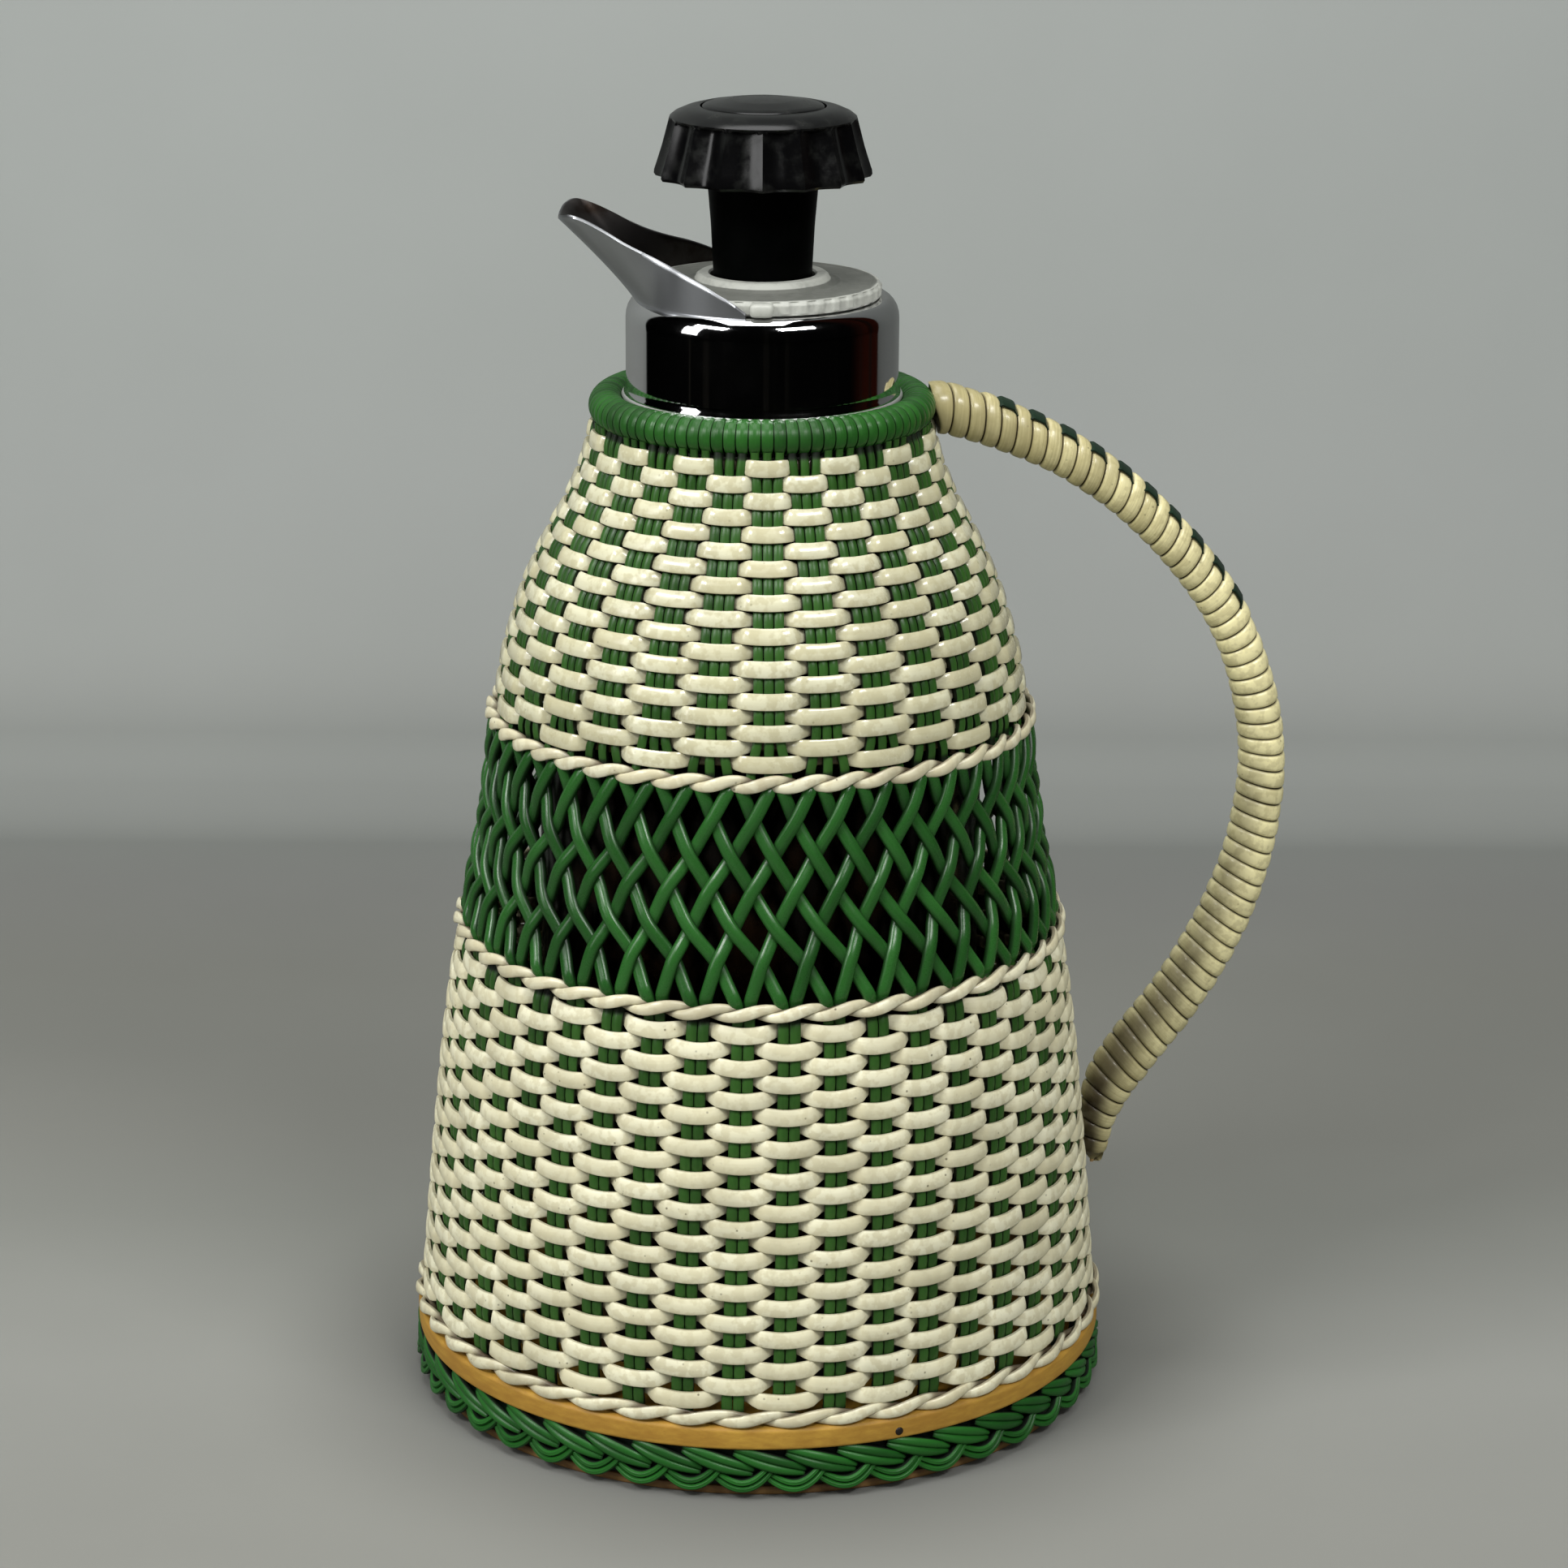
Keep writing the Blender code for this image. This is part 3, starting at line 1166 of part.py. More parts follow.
def build_spindle(material, pivot):
    bore_top = SPINDLE_BOTTOM + SCREW_REACH + SCREW_END_SPACE
    outline = [
        (SCREW_BORE, SPINDLE_BOTTOM),
        (SPINDLE_RADIUS, SPINDLE_BOTTOM),
        (SPINDLE_RADIUS, SPINDLE_TOP),
        (0.0, SPINDLE_TOP),
        (0.0, bore_top),
        (SCREW_BORE, bore_top),
    ]
    form = bmesh.new()
    corners = [form.verts.new((radius, 0.0, height - STEM_BOTTOM)) for radius, height in outline]
    edges = []
    for first, second in ((0, 1), (1, 2), (2, 3), (4, 5), (5, 0)):
        edges.append(form.edges.new((corners[first], corners[second])))
    bmesh.ops.spin(
        form,
        geom=corners + edges,
        cent=(0.0, 0.0, 0.0),
        axis=(0.0, 0.0, 1.0),
        angle=2.0 * math.pi,
        steps=16,
        use_merge=True,
    )
    return add_object("spindle", finish_mesh(form, "spindle"), material, (0.0, 0.0, STEM_BOTTOM), pivot)


def build_knob_stem(material, pivot):
    bore = SPINDLE_RADIUS + GAP
    outline = [
        (0.0, SPINDLE_TOP + GAP),
        (bore, SPINDLE_TOP + GAP),
        (bore, STEM_BOTTOM),
        (STEM_FOOT, STEM_BOTTOM),
        (STEM_WAIST, STEM_BOTTOM + STEM_WAIST_RISE),
        (STEM_HEAD, KNOB_BOTTOM - STEM_COLLAR),
        (STEM_HEAD, STEM_TOP),
        (0.0, STEM_TOP),
    ]
    return turned("knob_stem", outline, 20, material, STEM_BOTTOM, pivot, closed=False)


# Fluted cap: the flutes are hollows between sharp ridges and die out on the domed top
def build_knob_cap(material, pivot):
    floor = KNOB_APEX - INSERT_DEPTH
    inside = KNOB_SHOULDER - KNOB_WALL
    section = [
        (INSERT_RADIUS + GAP, KNOB_APEX - KNOB_DOME - KNOB_DOME_STEP, 0.0),
        (inside, KNOB_SHOULDER_HEIGHT + KNOB_SHOULDER_SLOPE, 0.0),
        (KNOB_SHOULDER, KNOB_SHOULDER_HEIGHT - KNOB_SHOULDER_EDGE, 0.7),
        (KNOB_SKIRT, KNOB_BOTTOM + KNOB_SKIRT_EDGE, 1.0),
        (KNOB_SKIRT - KNOB_SKIRT_EDGE, KNOB_BOTTOM, 1.0),
        (KNOB_SKIRT - KNOB_SKIRT_INSET - KNOB_WALL, KNOB_BOTTOM, 0.0),
        (inside, KNOB_SHOULDER_HEIGHT - KNOB_WALL, 0.0),
        (STEM_HEAD + KNOB_HUB_WALL, STEM_TOP + GAP, 0.0),
    ]
    form = bmesh.new()
    steps = KNOB_FLUTES * 2
    rings = []
    for step in range(steps):
        turn = 2.0 * math.pi * step / steps
        hollow = 0.0 if step % 2 == 0 else FLUTE_DEPTH
        ring = []
        for radius, height, strength in section:
            ring.append(form.verts.new(polar(radius - hollow * strength, turn, height - STEM_BOTTOM)))
        rings.append(ring)
    for first, second in zip(rings, rings[1:] + rings[:1]):
        for index in range(len(section) - 1):
            form.faces.new((first[index], first[index + 1], second[index + 1], second[index]))
    under = form.verts.new((0.0, 0.0, STEM_TOP + GAP - STEM_BOTTOM))
    recess_centre = form.verts.new((0.0, 0.0, floor - STEM_BOTTOM))
    recess = [
        form.verts.new(polar(INSERT_RADIUS + GAP, 2.0 * math.pi * step / steps, floor - STEM_BOTTOM))
        for step in range(steps)
    ]
    for step in range(steps):
        after = (step + 1) % steps
        form.faces.new((rings[step][-1], under, rings[after][-1]))
        form.faces.new((rings[after][0], recess[after], recess[step], rings[step][0]))
        form.faces.new((recess[after], recess_centre, recess[step]))
    mesh = finish_mesh(form, "knob_cap", 20.0)
    return add_object("knob_cap", mesh, material, (0.0, 0.0, STEM_BOTTOM), pivot)


def build_knob_insert(material, pivot):
    low = KNOB_APEX - INSERT_DEPTH + GAP
    edge = KNOB_APEX - KNOB_DOME
    outline = [
        (0.0, low),
        (INSERT_RADIUS, low),
        (INSERT_RADIUS, edge - GAP),
        (INSERT_RADIUS - INSERT_EDGE, edge + KNOB_DOME_STEP),
        (INSERT_RADIUS / 2.0, KNOB_APEX - INSERT_CROWN),
        (0.0, KNOB_APEX),
    ]
    return turned("knob_insert", outline, 24, material, STEM_BOTTOM, pivot, closed=False)


def main():
    clear_scene()
    green_rim = make_material("green_rim", (0.05, 0.17, 0.05), 0.32)
    green_lattice = make_material("green_lattice", (0.05, 0.17, 0.065), 0.3)
    green_foot = make_material("green_foot", (0.04, 0.15, 0.05), 0.3)
    green_leader = make_material("green_leader", (0.035, 0.10, 0.05), 0.4)
    cream_low = make_material("cream_lower", (0.69, 0.64, 0.48), 0.45)
    cream_high = make_material("cream_upper", (0.74, 0.69, 0.49), 0.3)
    cream_twine = make_material("cream_twine", (0.76, 0.70, 0.52), 0.45)
    cream_tape = make_material("cream_tape", (0.62, 0.56, 0.31), 0.35)
    cane = make_material("cane", (0.55, 0.40, 0.20), 0.6)
    ply = make_material("ply_board", (0.56, 0.36, 0.12), 0.55)
    ply_plate = make_material("ply_plate", (0.50, 0.33, 0.13), 0.6)
    steel = make_material("steel", (0.45, 0.44, 0.42), 0.35, 1.0)
    iron = make_material("dark_nail", (0.03, 0.03, 0.03), 0.5, 0.6)
    silvered = make_material("silvered_glass", (0.62, 0.60, 0.57), 0.08, 1.0)
    pad = make_material("spacer_pad", (0.80, 0.78, 0.72), 0.8)
    seat = make_material("seat_rubber", (0.05, 0.05, 0.05), 0.8)
    rubber = make_material("gasket_rubber", (0.10, 0.09, 0.08), 0.7)
    dull_metal = make_material("dull_ring", (0.42, 0.42, 0.42), 0.45, 1.0)
    chrome = make_material("chrome", (0.78, 0.78, 0.80), 0.06, 1.0)
    white = make_material("white_plastic", (0.60, 0.59, 0.54), 0.45)
    plug_white = make_material("plug_plastic", (0.72, 0.71, 0.66), 0.45)
    seal = make_material("seal_rubber", (0.45, 0.20, 0.12), 0.7)
    black = make_material("black_plastic", (0.01, 0.01, 0.01), 0.16)
    black_insert = make_material("black_insert", (0.012, 0.012, 0.012), 0.22)

    build_bottom_plate(ply_plate, steel)
    build_foot_braid(green_foot)
    build_base_board(ply, iron)

    twine_low = BOARD_TOP + GAP
    band_low = twine_low + TWINE_HEIGHT + GAP
    twine_mid = LOWER_BAND_TOP - TWINE_HEIGHT
    build_twined_ring("twine_bottom", twine_low, cream_twine)
    build_woven_wall(
        "lower_weave", band_low, twine_mid - GAP, STRAND_PAIRS, LOWER_ROW_PITCH, LOWER_ROW_START,
        LOWER_COLUMN_TURN, LOWER_COLUMN_LEAN, cream_low,
    )
    build_twined_ring("twine_middle", twine_mid, cream_twine)
    build_lattice(green_lattice)
    twine_high = LATTICE_TOP + GAP
    build_twined_ring("twine_upper", twine_high, cream_twine)
    upper_low = twine_high + TWINE_HEIGHT + GAP
    build_woven_wall(
        "upper_weave", upper_low, UPPER_BAND_TOP, UPPER_COLUMNS, UPPER_ROW_PITCH, UPPER_ROW_START,
        UPPER_COLUMN_TURN, 0.0, cream_high,
    )
    build_rim_hoop(green_rim)

    build_handle_core(cane)
    build_handle_binding(cream_tape)
    build_handle_leader(green_leader)

    build_flask(silvered)
    build_flask_pads(pad)
    build_flask_seat(seat)
    build_neck_gasket(rubber)
    build_neck_ring(dull_metal)
    build_collar(chrome)

    stopper = add_pivot("stopper_pivot", DISC_BOTTOM)
    valve = add_pivot("valve_pivot", PLUG_SEAT, stopper)
    knob = add_pivot("knob_pivot", STEM_BOTTOM, valve)
    build_stopper_disc(white, stopper)
    build_valve(plug_white, seal, steel, valve)
    build_spindle(steel, knob)
    build_knob_stem(black, knob)
    build_knob_cap(black, knob)
    build_knob_insert(black_insert, knob)


main()
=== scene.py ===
import math

import bpy
import numpy as np
from mathutils import Matrix


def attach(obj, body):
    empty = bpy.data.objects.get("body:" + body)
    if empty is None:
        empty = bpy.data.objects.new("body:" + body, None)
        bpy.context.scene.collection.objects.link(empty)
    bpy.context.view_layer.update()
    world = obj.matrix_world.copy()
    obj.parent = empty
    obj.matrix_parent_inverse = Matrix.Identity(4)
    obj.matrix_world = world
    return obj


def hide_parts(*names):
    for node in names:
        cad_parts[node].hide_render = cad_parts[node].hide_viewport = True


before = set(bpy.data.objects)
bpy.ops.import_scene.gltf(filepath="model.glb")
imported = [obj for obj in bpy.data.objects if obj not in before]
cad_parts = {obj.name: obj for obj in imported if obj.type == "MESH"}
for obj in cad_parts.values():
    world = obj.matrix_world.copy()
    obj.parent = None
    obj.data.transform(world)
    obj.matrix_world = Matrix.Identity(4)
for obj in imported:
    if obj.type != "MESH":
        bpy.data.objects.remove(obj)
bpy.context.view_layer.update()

# Woven vacuum jug: the basket's cords, the wrapped handle, the chrome spout and the black knob.
# Shapes are worked out in millimetres and put into the meshes in metres. An angle on the jug is
# in degrees from the side that faces the camera (-Y), and grows towards +X.
mm = 0.001
print("frame loaded:", len(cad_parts), "solids")


# Shapes
def smooth(part):
    part = np.clip(part, 0.0, 1.0)
    return part * part * (3.0 - 2.0 * part)


def unit(rows):
    return rows / np.linalg.norm(rows, axis=-1, keepdims=True)


def signedPower(values, power):
    return np.sign(values) * np.abs(values) ** power


def around(radius, angle, height):
    turn = np.radians(np.asarray(angle, float) - 90.0)
    radius, turn, height = np.broadcast_arrays(radius, turn, height)
    return np.stack([radius * np.cos(turn), radius * np.sin(turn), height], axis=-1)


# Degrees between an angle in radians and a turn in degrees, from -180 to 180
def turnFrom(phase, turn):
    return (np.degrees(phase) - turn + 180.0) % 360.0 - 180.0


# A line through the given rows: straight pieces, then a running mean that rounds the corners
def softTable(places, values, reach):
    step, margin = 0.5, 20.0
    fine = np.arange(places[0] - margin, places[-1] + margin, step)
    count = max(int(reach / step) // 2 * 2 + 1, 3)
    weights = np.hanning(count + 2)[1:-1]
    weights = weights / weights.sum()
    padded = np.pad(np.interp(fine, places, values), count // 2, mode="edge")
    return fine, np.convolve(padded, weights, mode="valid")


# Catmull-Rom through rows: value and neighbours weighted so that it passes every row
def throughRows(rows, amounts):
    rows = np.asarray(rows, float)
    index = np.minimum(amounts.astype(int), len(rows) - 2)
    part = (amounts - index)[:, None]
    padded = np.concatenate([2 * rows[:1] - rows[1:2], rows, 2 * rows[-1:] - rows[-2:-1]])
    before, start, end, after = padded[index], padded[index + 1], padded[index + 2], padded[index + 3]
    return 0.5 * (2 * start + (end - before) * part + (2 * before - 5 * start + 4 * end - after) * part ** 2
                  + (3 * start - before - 3 * end + after) * part ** 3)


# Cuts every corner of an open outline with a short curve, at most `cut` from the corner
def roundCorners(outline, cut, steps=3):
    outline = np.asarray(outline, float)
    part = np.linspace(0.0, 1.0, steps + 1)[:, None]
    rows = [outline[0]]
    for before, corner, after in zip(outline, outline[1:], outline[2:]):
        back, ahead = before - corner, after - corner
        reach = min(cut, np.linalg.norm(back) * 0.45, np.linalg.norm(ahead) * 0.45)
        start, end = corner + unit(back) * reach, corner + unit(ahead) * reach
        rows.extend((1 - part) ** 2 * start + 2 * part * (1 - part) * corner + part ** 2 * end)
    return np.array(rows + [outline[-1]])


# Adds a row close to each end of every long straight piece, so that its shading stays flat
def firmEdges(outline, gap=0.5):
    outline = np.asarray(outline, float)
    rows = [outline[0]]
    for start, end in zip(outline, outline[1:]):
        length = np.linalg.norm(end - start)
        if length > gap * 3.0:
            rows += [start + (end - start) * gap / length, end - (end - start) * gap / length]
        rows.append(end)
    return np.array(rows)


# The frame has materials of its own, so these are looked up here and not by their names in Blender
paints = {}


def newMaterial(name):
    material = paints[name] = bpy.data.materials.new(name)
    material.use_nodes = True
    return material.node_tree, material.node_tree.nodes["Principled BSDF"].inputs


def link(name, data):
    item = bpy.data.objects.new(name, data)
    bpy.context.scene.collection.objects.link(item)
    return item


def newMesh(name, points, faces, material):
    mesh = bpy.data.meshes.new(name)
    mesh.from_pydata(points.tolist(), [], faces if isinstance(faces, list) else faces.tolist())
    mesh.polygons.foreach_set("use_smooth", np.ones(len(mesh.polygons), dtype=bool))
    mesh.materials.append(paints[material])
    return mesh


# Puts a piece into the scene in place of a CAD node. A shape is points in mm, faces as rows of
# corners and, for cords, one uv pair a corner. Values are spread evenly over the points.
def addPiece(name, node, slot, material, shape, body="jug", sharp=50.0, **values):
    points, faces, *uv = shape
    mesh = newMesh(name, np.asarray(points) * mm, faces, material)
    mesh.set_sharp_from_angle(angle=math.radians(sharp))
    if uv:
        mesh.uv_layers.new(name="along")
        mesh.uv_layers["along"].uv.foreach_set("vector", np.asarray(uv[0], dtype=np.float32).ravel())
    for key, value in values.items():
        layer = mesh.attributes.new(key, "FLOAT", "POINT")
        value = np.repeat(np.ravel(value), len(points) // np.size(value))
        layer.data.foreach_set("value", value.astype(np.float32))
    piece = link(name, mesh)
    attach(piece, body)
    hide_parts(node)


# Faces between rows of points, where each row closes on itself, and with `closed` the last row
# meets the first one too
def gridFaces(rows, columns, closed=False):
    row, column = np.meshgrid(np.arange(rows if closed else rows - 1), np.arange(columns), indexing="ij")
    nextRow, nextColumn = (row + 1) % rows, (column + 1) % columns
    return np.stack([row * columns + column, row * columns + nextColumn,
                     nextRow * columns + nextColumn, nextRow * columns + column], -1).reshape(-1, 4)


# Faces that close one ring, from side to side
def endCap(sides):
    k = np.arange(sides // 2 - 1)
    return np.stack([k, k + 1, sides - 2 - k, sides - 1 - k], -1)


# One uv pair a corner: along a cord from start to end, and round it from low to high
def cornerUv(start, end, low, high):
    start, end, low, high = np.broadcast_arrays(start, end, low, high)
    return np.stack([start, low, start, high, end, high, end, low], -1).reshape(-1, 4, 2)


# Cords and strips: a flattened ring is carried along each path. A ring's point is
# centre + across * wide * cos + outward * deep * sin, both raised to `square` (less is squarer).
# Paths are (strands, points, 3); widths and depths are (strands, points) or one number.
def sweep(paths, outwards, wide, deep, square, sides=8, closed=False):
    strands, count, _ = paths.shape
    if closed:
        tangents = unit(np.roll(paths, -1, axis=1) - np.roll(paths, 1, axis=1))
    else:
        tangents = unit(np.gradient(paths, axis=1))
    outwards = unit(outwards - tangents * np.sum(outwards * tangents, axis=-1, keepdims=True))
    across = np.cross(outwards, tangents)
    phase = 2.0 * np.pi * (np.arange(sides) + 0.5) / sides
    sideways, upwards = signedPower(np.cos(phase), square), signedPower(np.sin(phase), square)
    wide, deep = [np.broadcast_to(size, (strands, count))[..., None, None] for size in (wide, deep)]
    rings = paths[:, :, None] + across[:, :, None] * wide * sideways[:, None]
    rings = rings + outwards[:, :, None] * deep * upwards[:, None]
    first = np.arange(strands)[:, None, None] * count * sides
    faces = (first + gridFaces(count, sides, closed)).reshape(-1, 4)
    lengths = np.linalg.norm(np.diff(paths, axis=1), axis=-1)
    lengths = np.concatenate([np.zeros((strands, 1)), np.cumsum(lengths, axis=1)], axis=1)
    if closed:
        lengths = np.concatenate([lengths, lengths[:, -1:] + lengths[:, 1:2]], axis=1)
    side = np.arange(sides)
    uv = cornerUv(lengths[:, :-1, None], lengths[:, 1:, None], (side + 0.5) / sides, (side + 1.5) / sides)
    if not closed:
        cap = endCap(sides)
        ends, starts = first + (count - 1) * sides + cap, first + cap[:, ::-1]
        faces = np.concatenate([faces, ends.reshape(-1, 4), starts.reshape(-1, 4)])
        uv = np.concatenate([uv, np.zeros((len(faces) - len(uv), 4, 2))])
    return rings.reshape(-1, 3), faces, uv


# An outline of (radius, height) rows turned round Z; a row on the axis becomes one point.
# push(turns, rows) may move the rings in or out.
def lathe(outline, steps=128, closed=True, push=None):
    outline = np.asarray(outline, float)
    turn = np.degrees(2.0 * np.pi * np.arange(steps) / steps)
    radius, height = np.repeat(outline[:, :1], steps, axis=1), np.repeat(outline[:, 1:], steps, axis=1)
    if push is not None:
        radius = radius + push(turn[None, :], outline)
    points = around(radius, turn[None, :], height).reshape(-1, 3)
    side = np.arange(steps)
    after = (side + 1) % steps
    blocks = []
    for low in range(len(outline) if closed else len(outline) - 1):
        high = (low + 1) % len(outline)
        corners = [low * steps + side, low * steps + after, high * steps + after, high * steps + side]
        lowPole, highPole = outline[[low, high], 0] < 1e-6
        if lowPole and highPole:
            continue
        if lowPole:
            corners = [low * steps + 0 * side] + corners[2:]
        elif highPole:
            corners = corners[:2] + [high * steps + 0 * side]
        blocks.append(np.stack(corners, -1))
    used = np.unique(np.concatenate([block.ravel() for block in blocks]))
    fresh = np.full(len(points), -1)
    fresh[used] = np.arange(len(used))
    return points[used], [face for block in blocks for face in fresh[block].tolist()]


# Basket wall: outer radius at a height, and a point at a depth under it with its outward direction
basket = {
    "heights": [18.0, 54.5, 84.5, 102.5, 115.5, 134.5, 152.5, 164.5, 179.5, 194.5, 206.5, 216.5, 226.5, 234.0],
    "radii": [82.4, 79.4, 76.4, 74.0, 71.3, 67.1, 64.5, 63.6, 61.3, 56.9, 51.6, 46.0, 41.9, 40.2],
    "rounding": 14.0, "columns": 43,
}
wallHeights, wallRadii = softTable(basket["heights"], basket["radii"], basket["rounding"])
wallSlopes = np.gradient(wallRadii, wallHeights)


def onWall(angle, height, depth=0.0):
    angle, height, depth = np.broadcast_arrays(np.asarray(angle, float), height, depth)
    radius = np.interp(height, wallHeights, wallRadii)
    slope = np.interp(height, wallHeights, wallSlopes)
    size = np.sqrt(1.0 + slope * slope)
    outward = around(1.0 / size, angle, -slope / size)
    return around(radius, angle, height) - outward * depth[..., None], outward


# Shader helpers: each adds a node to the tree and returns the node or its result
def put(tree, kind, inputs=None, **settings):
    made = tree.nodes.new("ShaderNode" + kind)
    for key, value in settings.items():
        setattr(made, key, value)
    for key, value in (inputs or {}).items():
        if isinstance(value, bpy.types.NodeSocket):
            tree.links.new(value, made.inputs[key])
        else:
            made.inputs[key].default_value = value
    return made


def mix(tree, factor, first, second, blend="MIX"):
    return put(tree, "Mix", {0: factor, 6: first, 7: second}, data_type="RGBA", blend_type=blend).outputs[2]


def calc(tree, operation, *values, **settings):
    return put(tree, "Math", dict(enumerate(values)), operation=operation, **settings).outputs[0]


def times(tree, first, second):
    return calc(tree, "MULTIPLY", first, second)


def timesPlus(tree, first, second, third, **settings):
    return calc(tree, "MULTIPLY_ADD", first, second, third, **settings)


def remap(tree, value, low, high, outLow=0.0, outHigh=1.0, ease="SMOOTHSTEP"):
    return put(tree, "MapRange", {"Value": value, "From Min": low, "From Max": high, "To Min": outLow,
                                  "To Max": outHigh}, interpolation_type=ease).outputs["Result"]


def noise(tree, place, scale, detail=3.0, roughness=0.55):
    return put(tree, "TexNoise", {"Vector": place, "Scale": scale, "Detail": detail,
                                  "Roughness": roughness}).outputs["Fac"]


def scaled(tree, place, scale):
    return put(tree, "Mapping", {"Vector": place, "Scale": scale}).outputs[0]


def objectPlace(tree):
    return put(tree, "TexCoord").outputs["Object"]


def putGroup(tree, group, values):
    return put(tree, "Group", values, node_tree=group).outputs


# A node group: an input is a colour, a number or, where its value is None, a vector
def newGroup(name, inputs, outputs=("Colour", "Roughness", "Height")):
    group = bpy.data.node_groups.new(name, "ShaderNodeTree")
    colour, number = "NodeSocketColor", "NodeSocketFloat"
    for label, value in inputs.items():
        kind = "NodeSocketVector" if value is None else colour if isinstance(value, tuple) else number
        socket = group.interface.new_socket(name=label, in_out="INPUT", socket_type=kind)
        if value is not None:
            socket.default_value = value
    for label in outputs:
        group.interface.new_socket(name=label, in_out="OUTPUT", socket_type=colour if label == "Colour" else number)
    return group, group.nodes.new("NodeGroupInput").outputs, group.nodes.new("NodeGroupOutput").inputs


# Links each socket to the result that its label names
def give(tree, result, **sockets):
    for label, socket in sockets.items():
        tree.links.new(socket, result[label])
    return tree


# Extruded plastic: colour that drifts from strand to strand and along each, fine lengthwise ribs,
# patches of grime, painted shade where the strand dives under its neighbours and along its edges,
# and small brown specks. The face that looks outward lies at a quarter of the way round the section.
def makeCordFinish():
    tree, given, result = newGroup("cordFinish", {
        "Colour": (0.5, 0.5, 0.5, 1.0), "Dark Colour": (0.2, 0.2, 0.2, 1.0), "Grime Colour": (0.1, 0.07, 0.04, 1.0),
        "Tone": 0.5, "Dive": 0.0, "Groove": 0.0, "Grime": 0.3, "Mottle": 0.0, "Specks": 0.2, "Ribs": 0.5,
        "Roughness": 0.3})
    place = objectPlace(tree)
    along = put(tree, "UVMap", uv_map="along").outputs["UV"]
    streaks = noise(tree, scaled(tree, along, (0.06, 9.0, 1.0)), 1.0, 4.0)
    ribs = noise(tree, scaled(tree, along, (0.012, 22.0, 1.0)), 1.0, 2.0)
    fine = noise(tree, place, 900.0, 3.0, 0.6)
    drift = timesPlus(tree, streaks, 0.55, times(tree, given["Tone"], 0.6))
    base = mix(tree, remap(tree, drift, 0.2, 0.95), given["Dark Colour"], given["Colour"])
    blotch = times(tree, remap(tree, noise(tree, place, 430.0, 2.0), 0.44, 0.6), given["Mottle"])
    base = mix(tree, blotch, base, given["Dark Colour"])
    worn = times(tree, remap(tree, noise(tree, place, 55.0), 0.42, 0.7), given["Grime"])
    # painted shade: darker where the strand dives under its neighbours and along the edges of its section, mixed in
    # with the grime
    dive = times(tree, remap(tree, given["Dive"], 0.5, 0.95), 0.9)
    section = put(tree, "SeparateXYZ", {0: along}).outputs["Y"]
    fromFace = calc(tree, "ABSOLUTE", calc(tree, "SUBTRACT", section, 0.25))
    groove = times(tree, remap(tree, fromFace, 0.14, 0.24), given["Groove"])
    dirt = calc(tree, "ADD", worn, calc(tree, "MAXIMUM", dive, groove), use_clamp=True)
    dirty = mix(tree, dirt, base, given["Grime Colour"])
    dots = put(tree, "TexVoronoi", {"Vector": place, "Scale": 420.0, "Randomness": 1.0}).outputs["Distance"]
    dot = times(tree, remap(tree, dots, 0.16, 0.05), given["Specks"])
    some = remap(tree, noise(tree, place, 130.0, 2.0), 0.5, 0.62)
    rough = timesPlus(tree, fine, 0.22, calc(tree, "SUBTRACT", given["Roughness"], 0.11))
    return give(tree, result, Colour=mix(tree, times(tree, dot, some), dirty, given["Grime Colour"]),
                Roughness=timesPlus(tree, dirt, 0.3, rough, use_clamp=True),
                Height=timesPlus(tree, fine, 0.25, times(tree, ribs, given["Ribs"])))


# Grain: rings stretched along one axis, with pores between them
def makeWoodGrain():
    tree, given, result = newGroup("woodGrain", {
        "Light": (0.6, 0.4, 0.2, 1.0), "Dark": (0.3, 0.17, 0.06, 1.0), "Plies": 0.5, "Roughness": 0.55})
    place = objectPlace(tree)
    grainPlace = scaled(tree, place, (1.0, 0.12, 3.0))
    grain = noise(tree, grainPlace, 260.0, 5.0, 0.6)
    plies = put(tree, "TexWave", {"Vector": scaled(tree, place, (0.02, 0.02, 1.0)), "Scale": 175.0,
                                  "Distortion": 1.2, "Detail": 2.0, "Detail Scale": 6.0}, bands_direction="Z")
    mixed = timesPlus(tree, grain, 0.75, times(tree, noise(tree, place, 40.0), 0.4))
    mixed = timesPlus(tree, plies.outputs["Fac"], given["Plies"], mixed)
    colour = mix(tree, remap(tree, mixed, 0.35, 0.95), given["Dark"], given["Light"])
    pores = times(tree, remap(tree, noise(tree, grainPlace, 700.0, 2.0), 0.62, 0.72), 0.5)
    return give(tree, result, Colour=mix(tree, pores, colour, given["Dark"]),
                Roughness=timesPlus(tree, grain, 0.2, given["Roughness"]), Height=mixed)


# Handled metal, glass or moulded plastic: smudges that dull the shine, hairline scratches and a
# drift of colour
def makeSurfaceWear():
    tree, given, result = newGroup("surfaceWear", {
        "Colour": (0.8, 0.8, 0.8, 1.0), "Worn Colour": (0.5, 0.45, 0.4, 1.0), "Wear": 0.4, "Soil": 0.0,
        "Scale": 30.0, "Smooth": 0.05, "Dull": 0.25})
    place = objectPlace(tree)
    cloud = noise(tree, place, given["Scale"], 5.0, 0.6)
    scratch = noise(tree, scaled(tree, place, (1.0, 1.0, 9.0)), 320.0, 4.0, 0.7)
    smudge = times(tree, remap(tree, cloud, 0.45, 0.72), given["Wear"])
    smudge = calc(tree, "ADD", smudge, given["Soil"], use_clamp=True)
    dull = calc(tree, "SUBTRACT", given["Dull"], given["Smooth"])
    rough = timesPlus(tree, smudge, dull, given["Smooth"])
    return give(tree, result, Colour=mix(tree, smudge, given["Colour"], given["Worn Colour"]),
                Roughness=timesPlus(tree, noise(tree, place, 1400.0, 2.0), 0.03, rough),
                Height=timesPlus(tree, scratch, 0.6, times(tree, cloud, 0.4)))


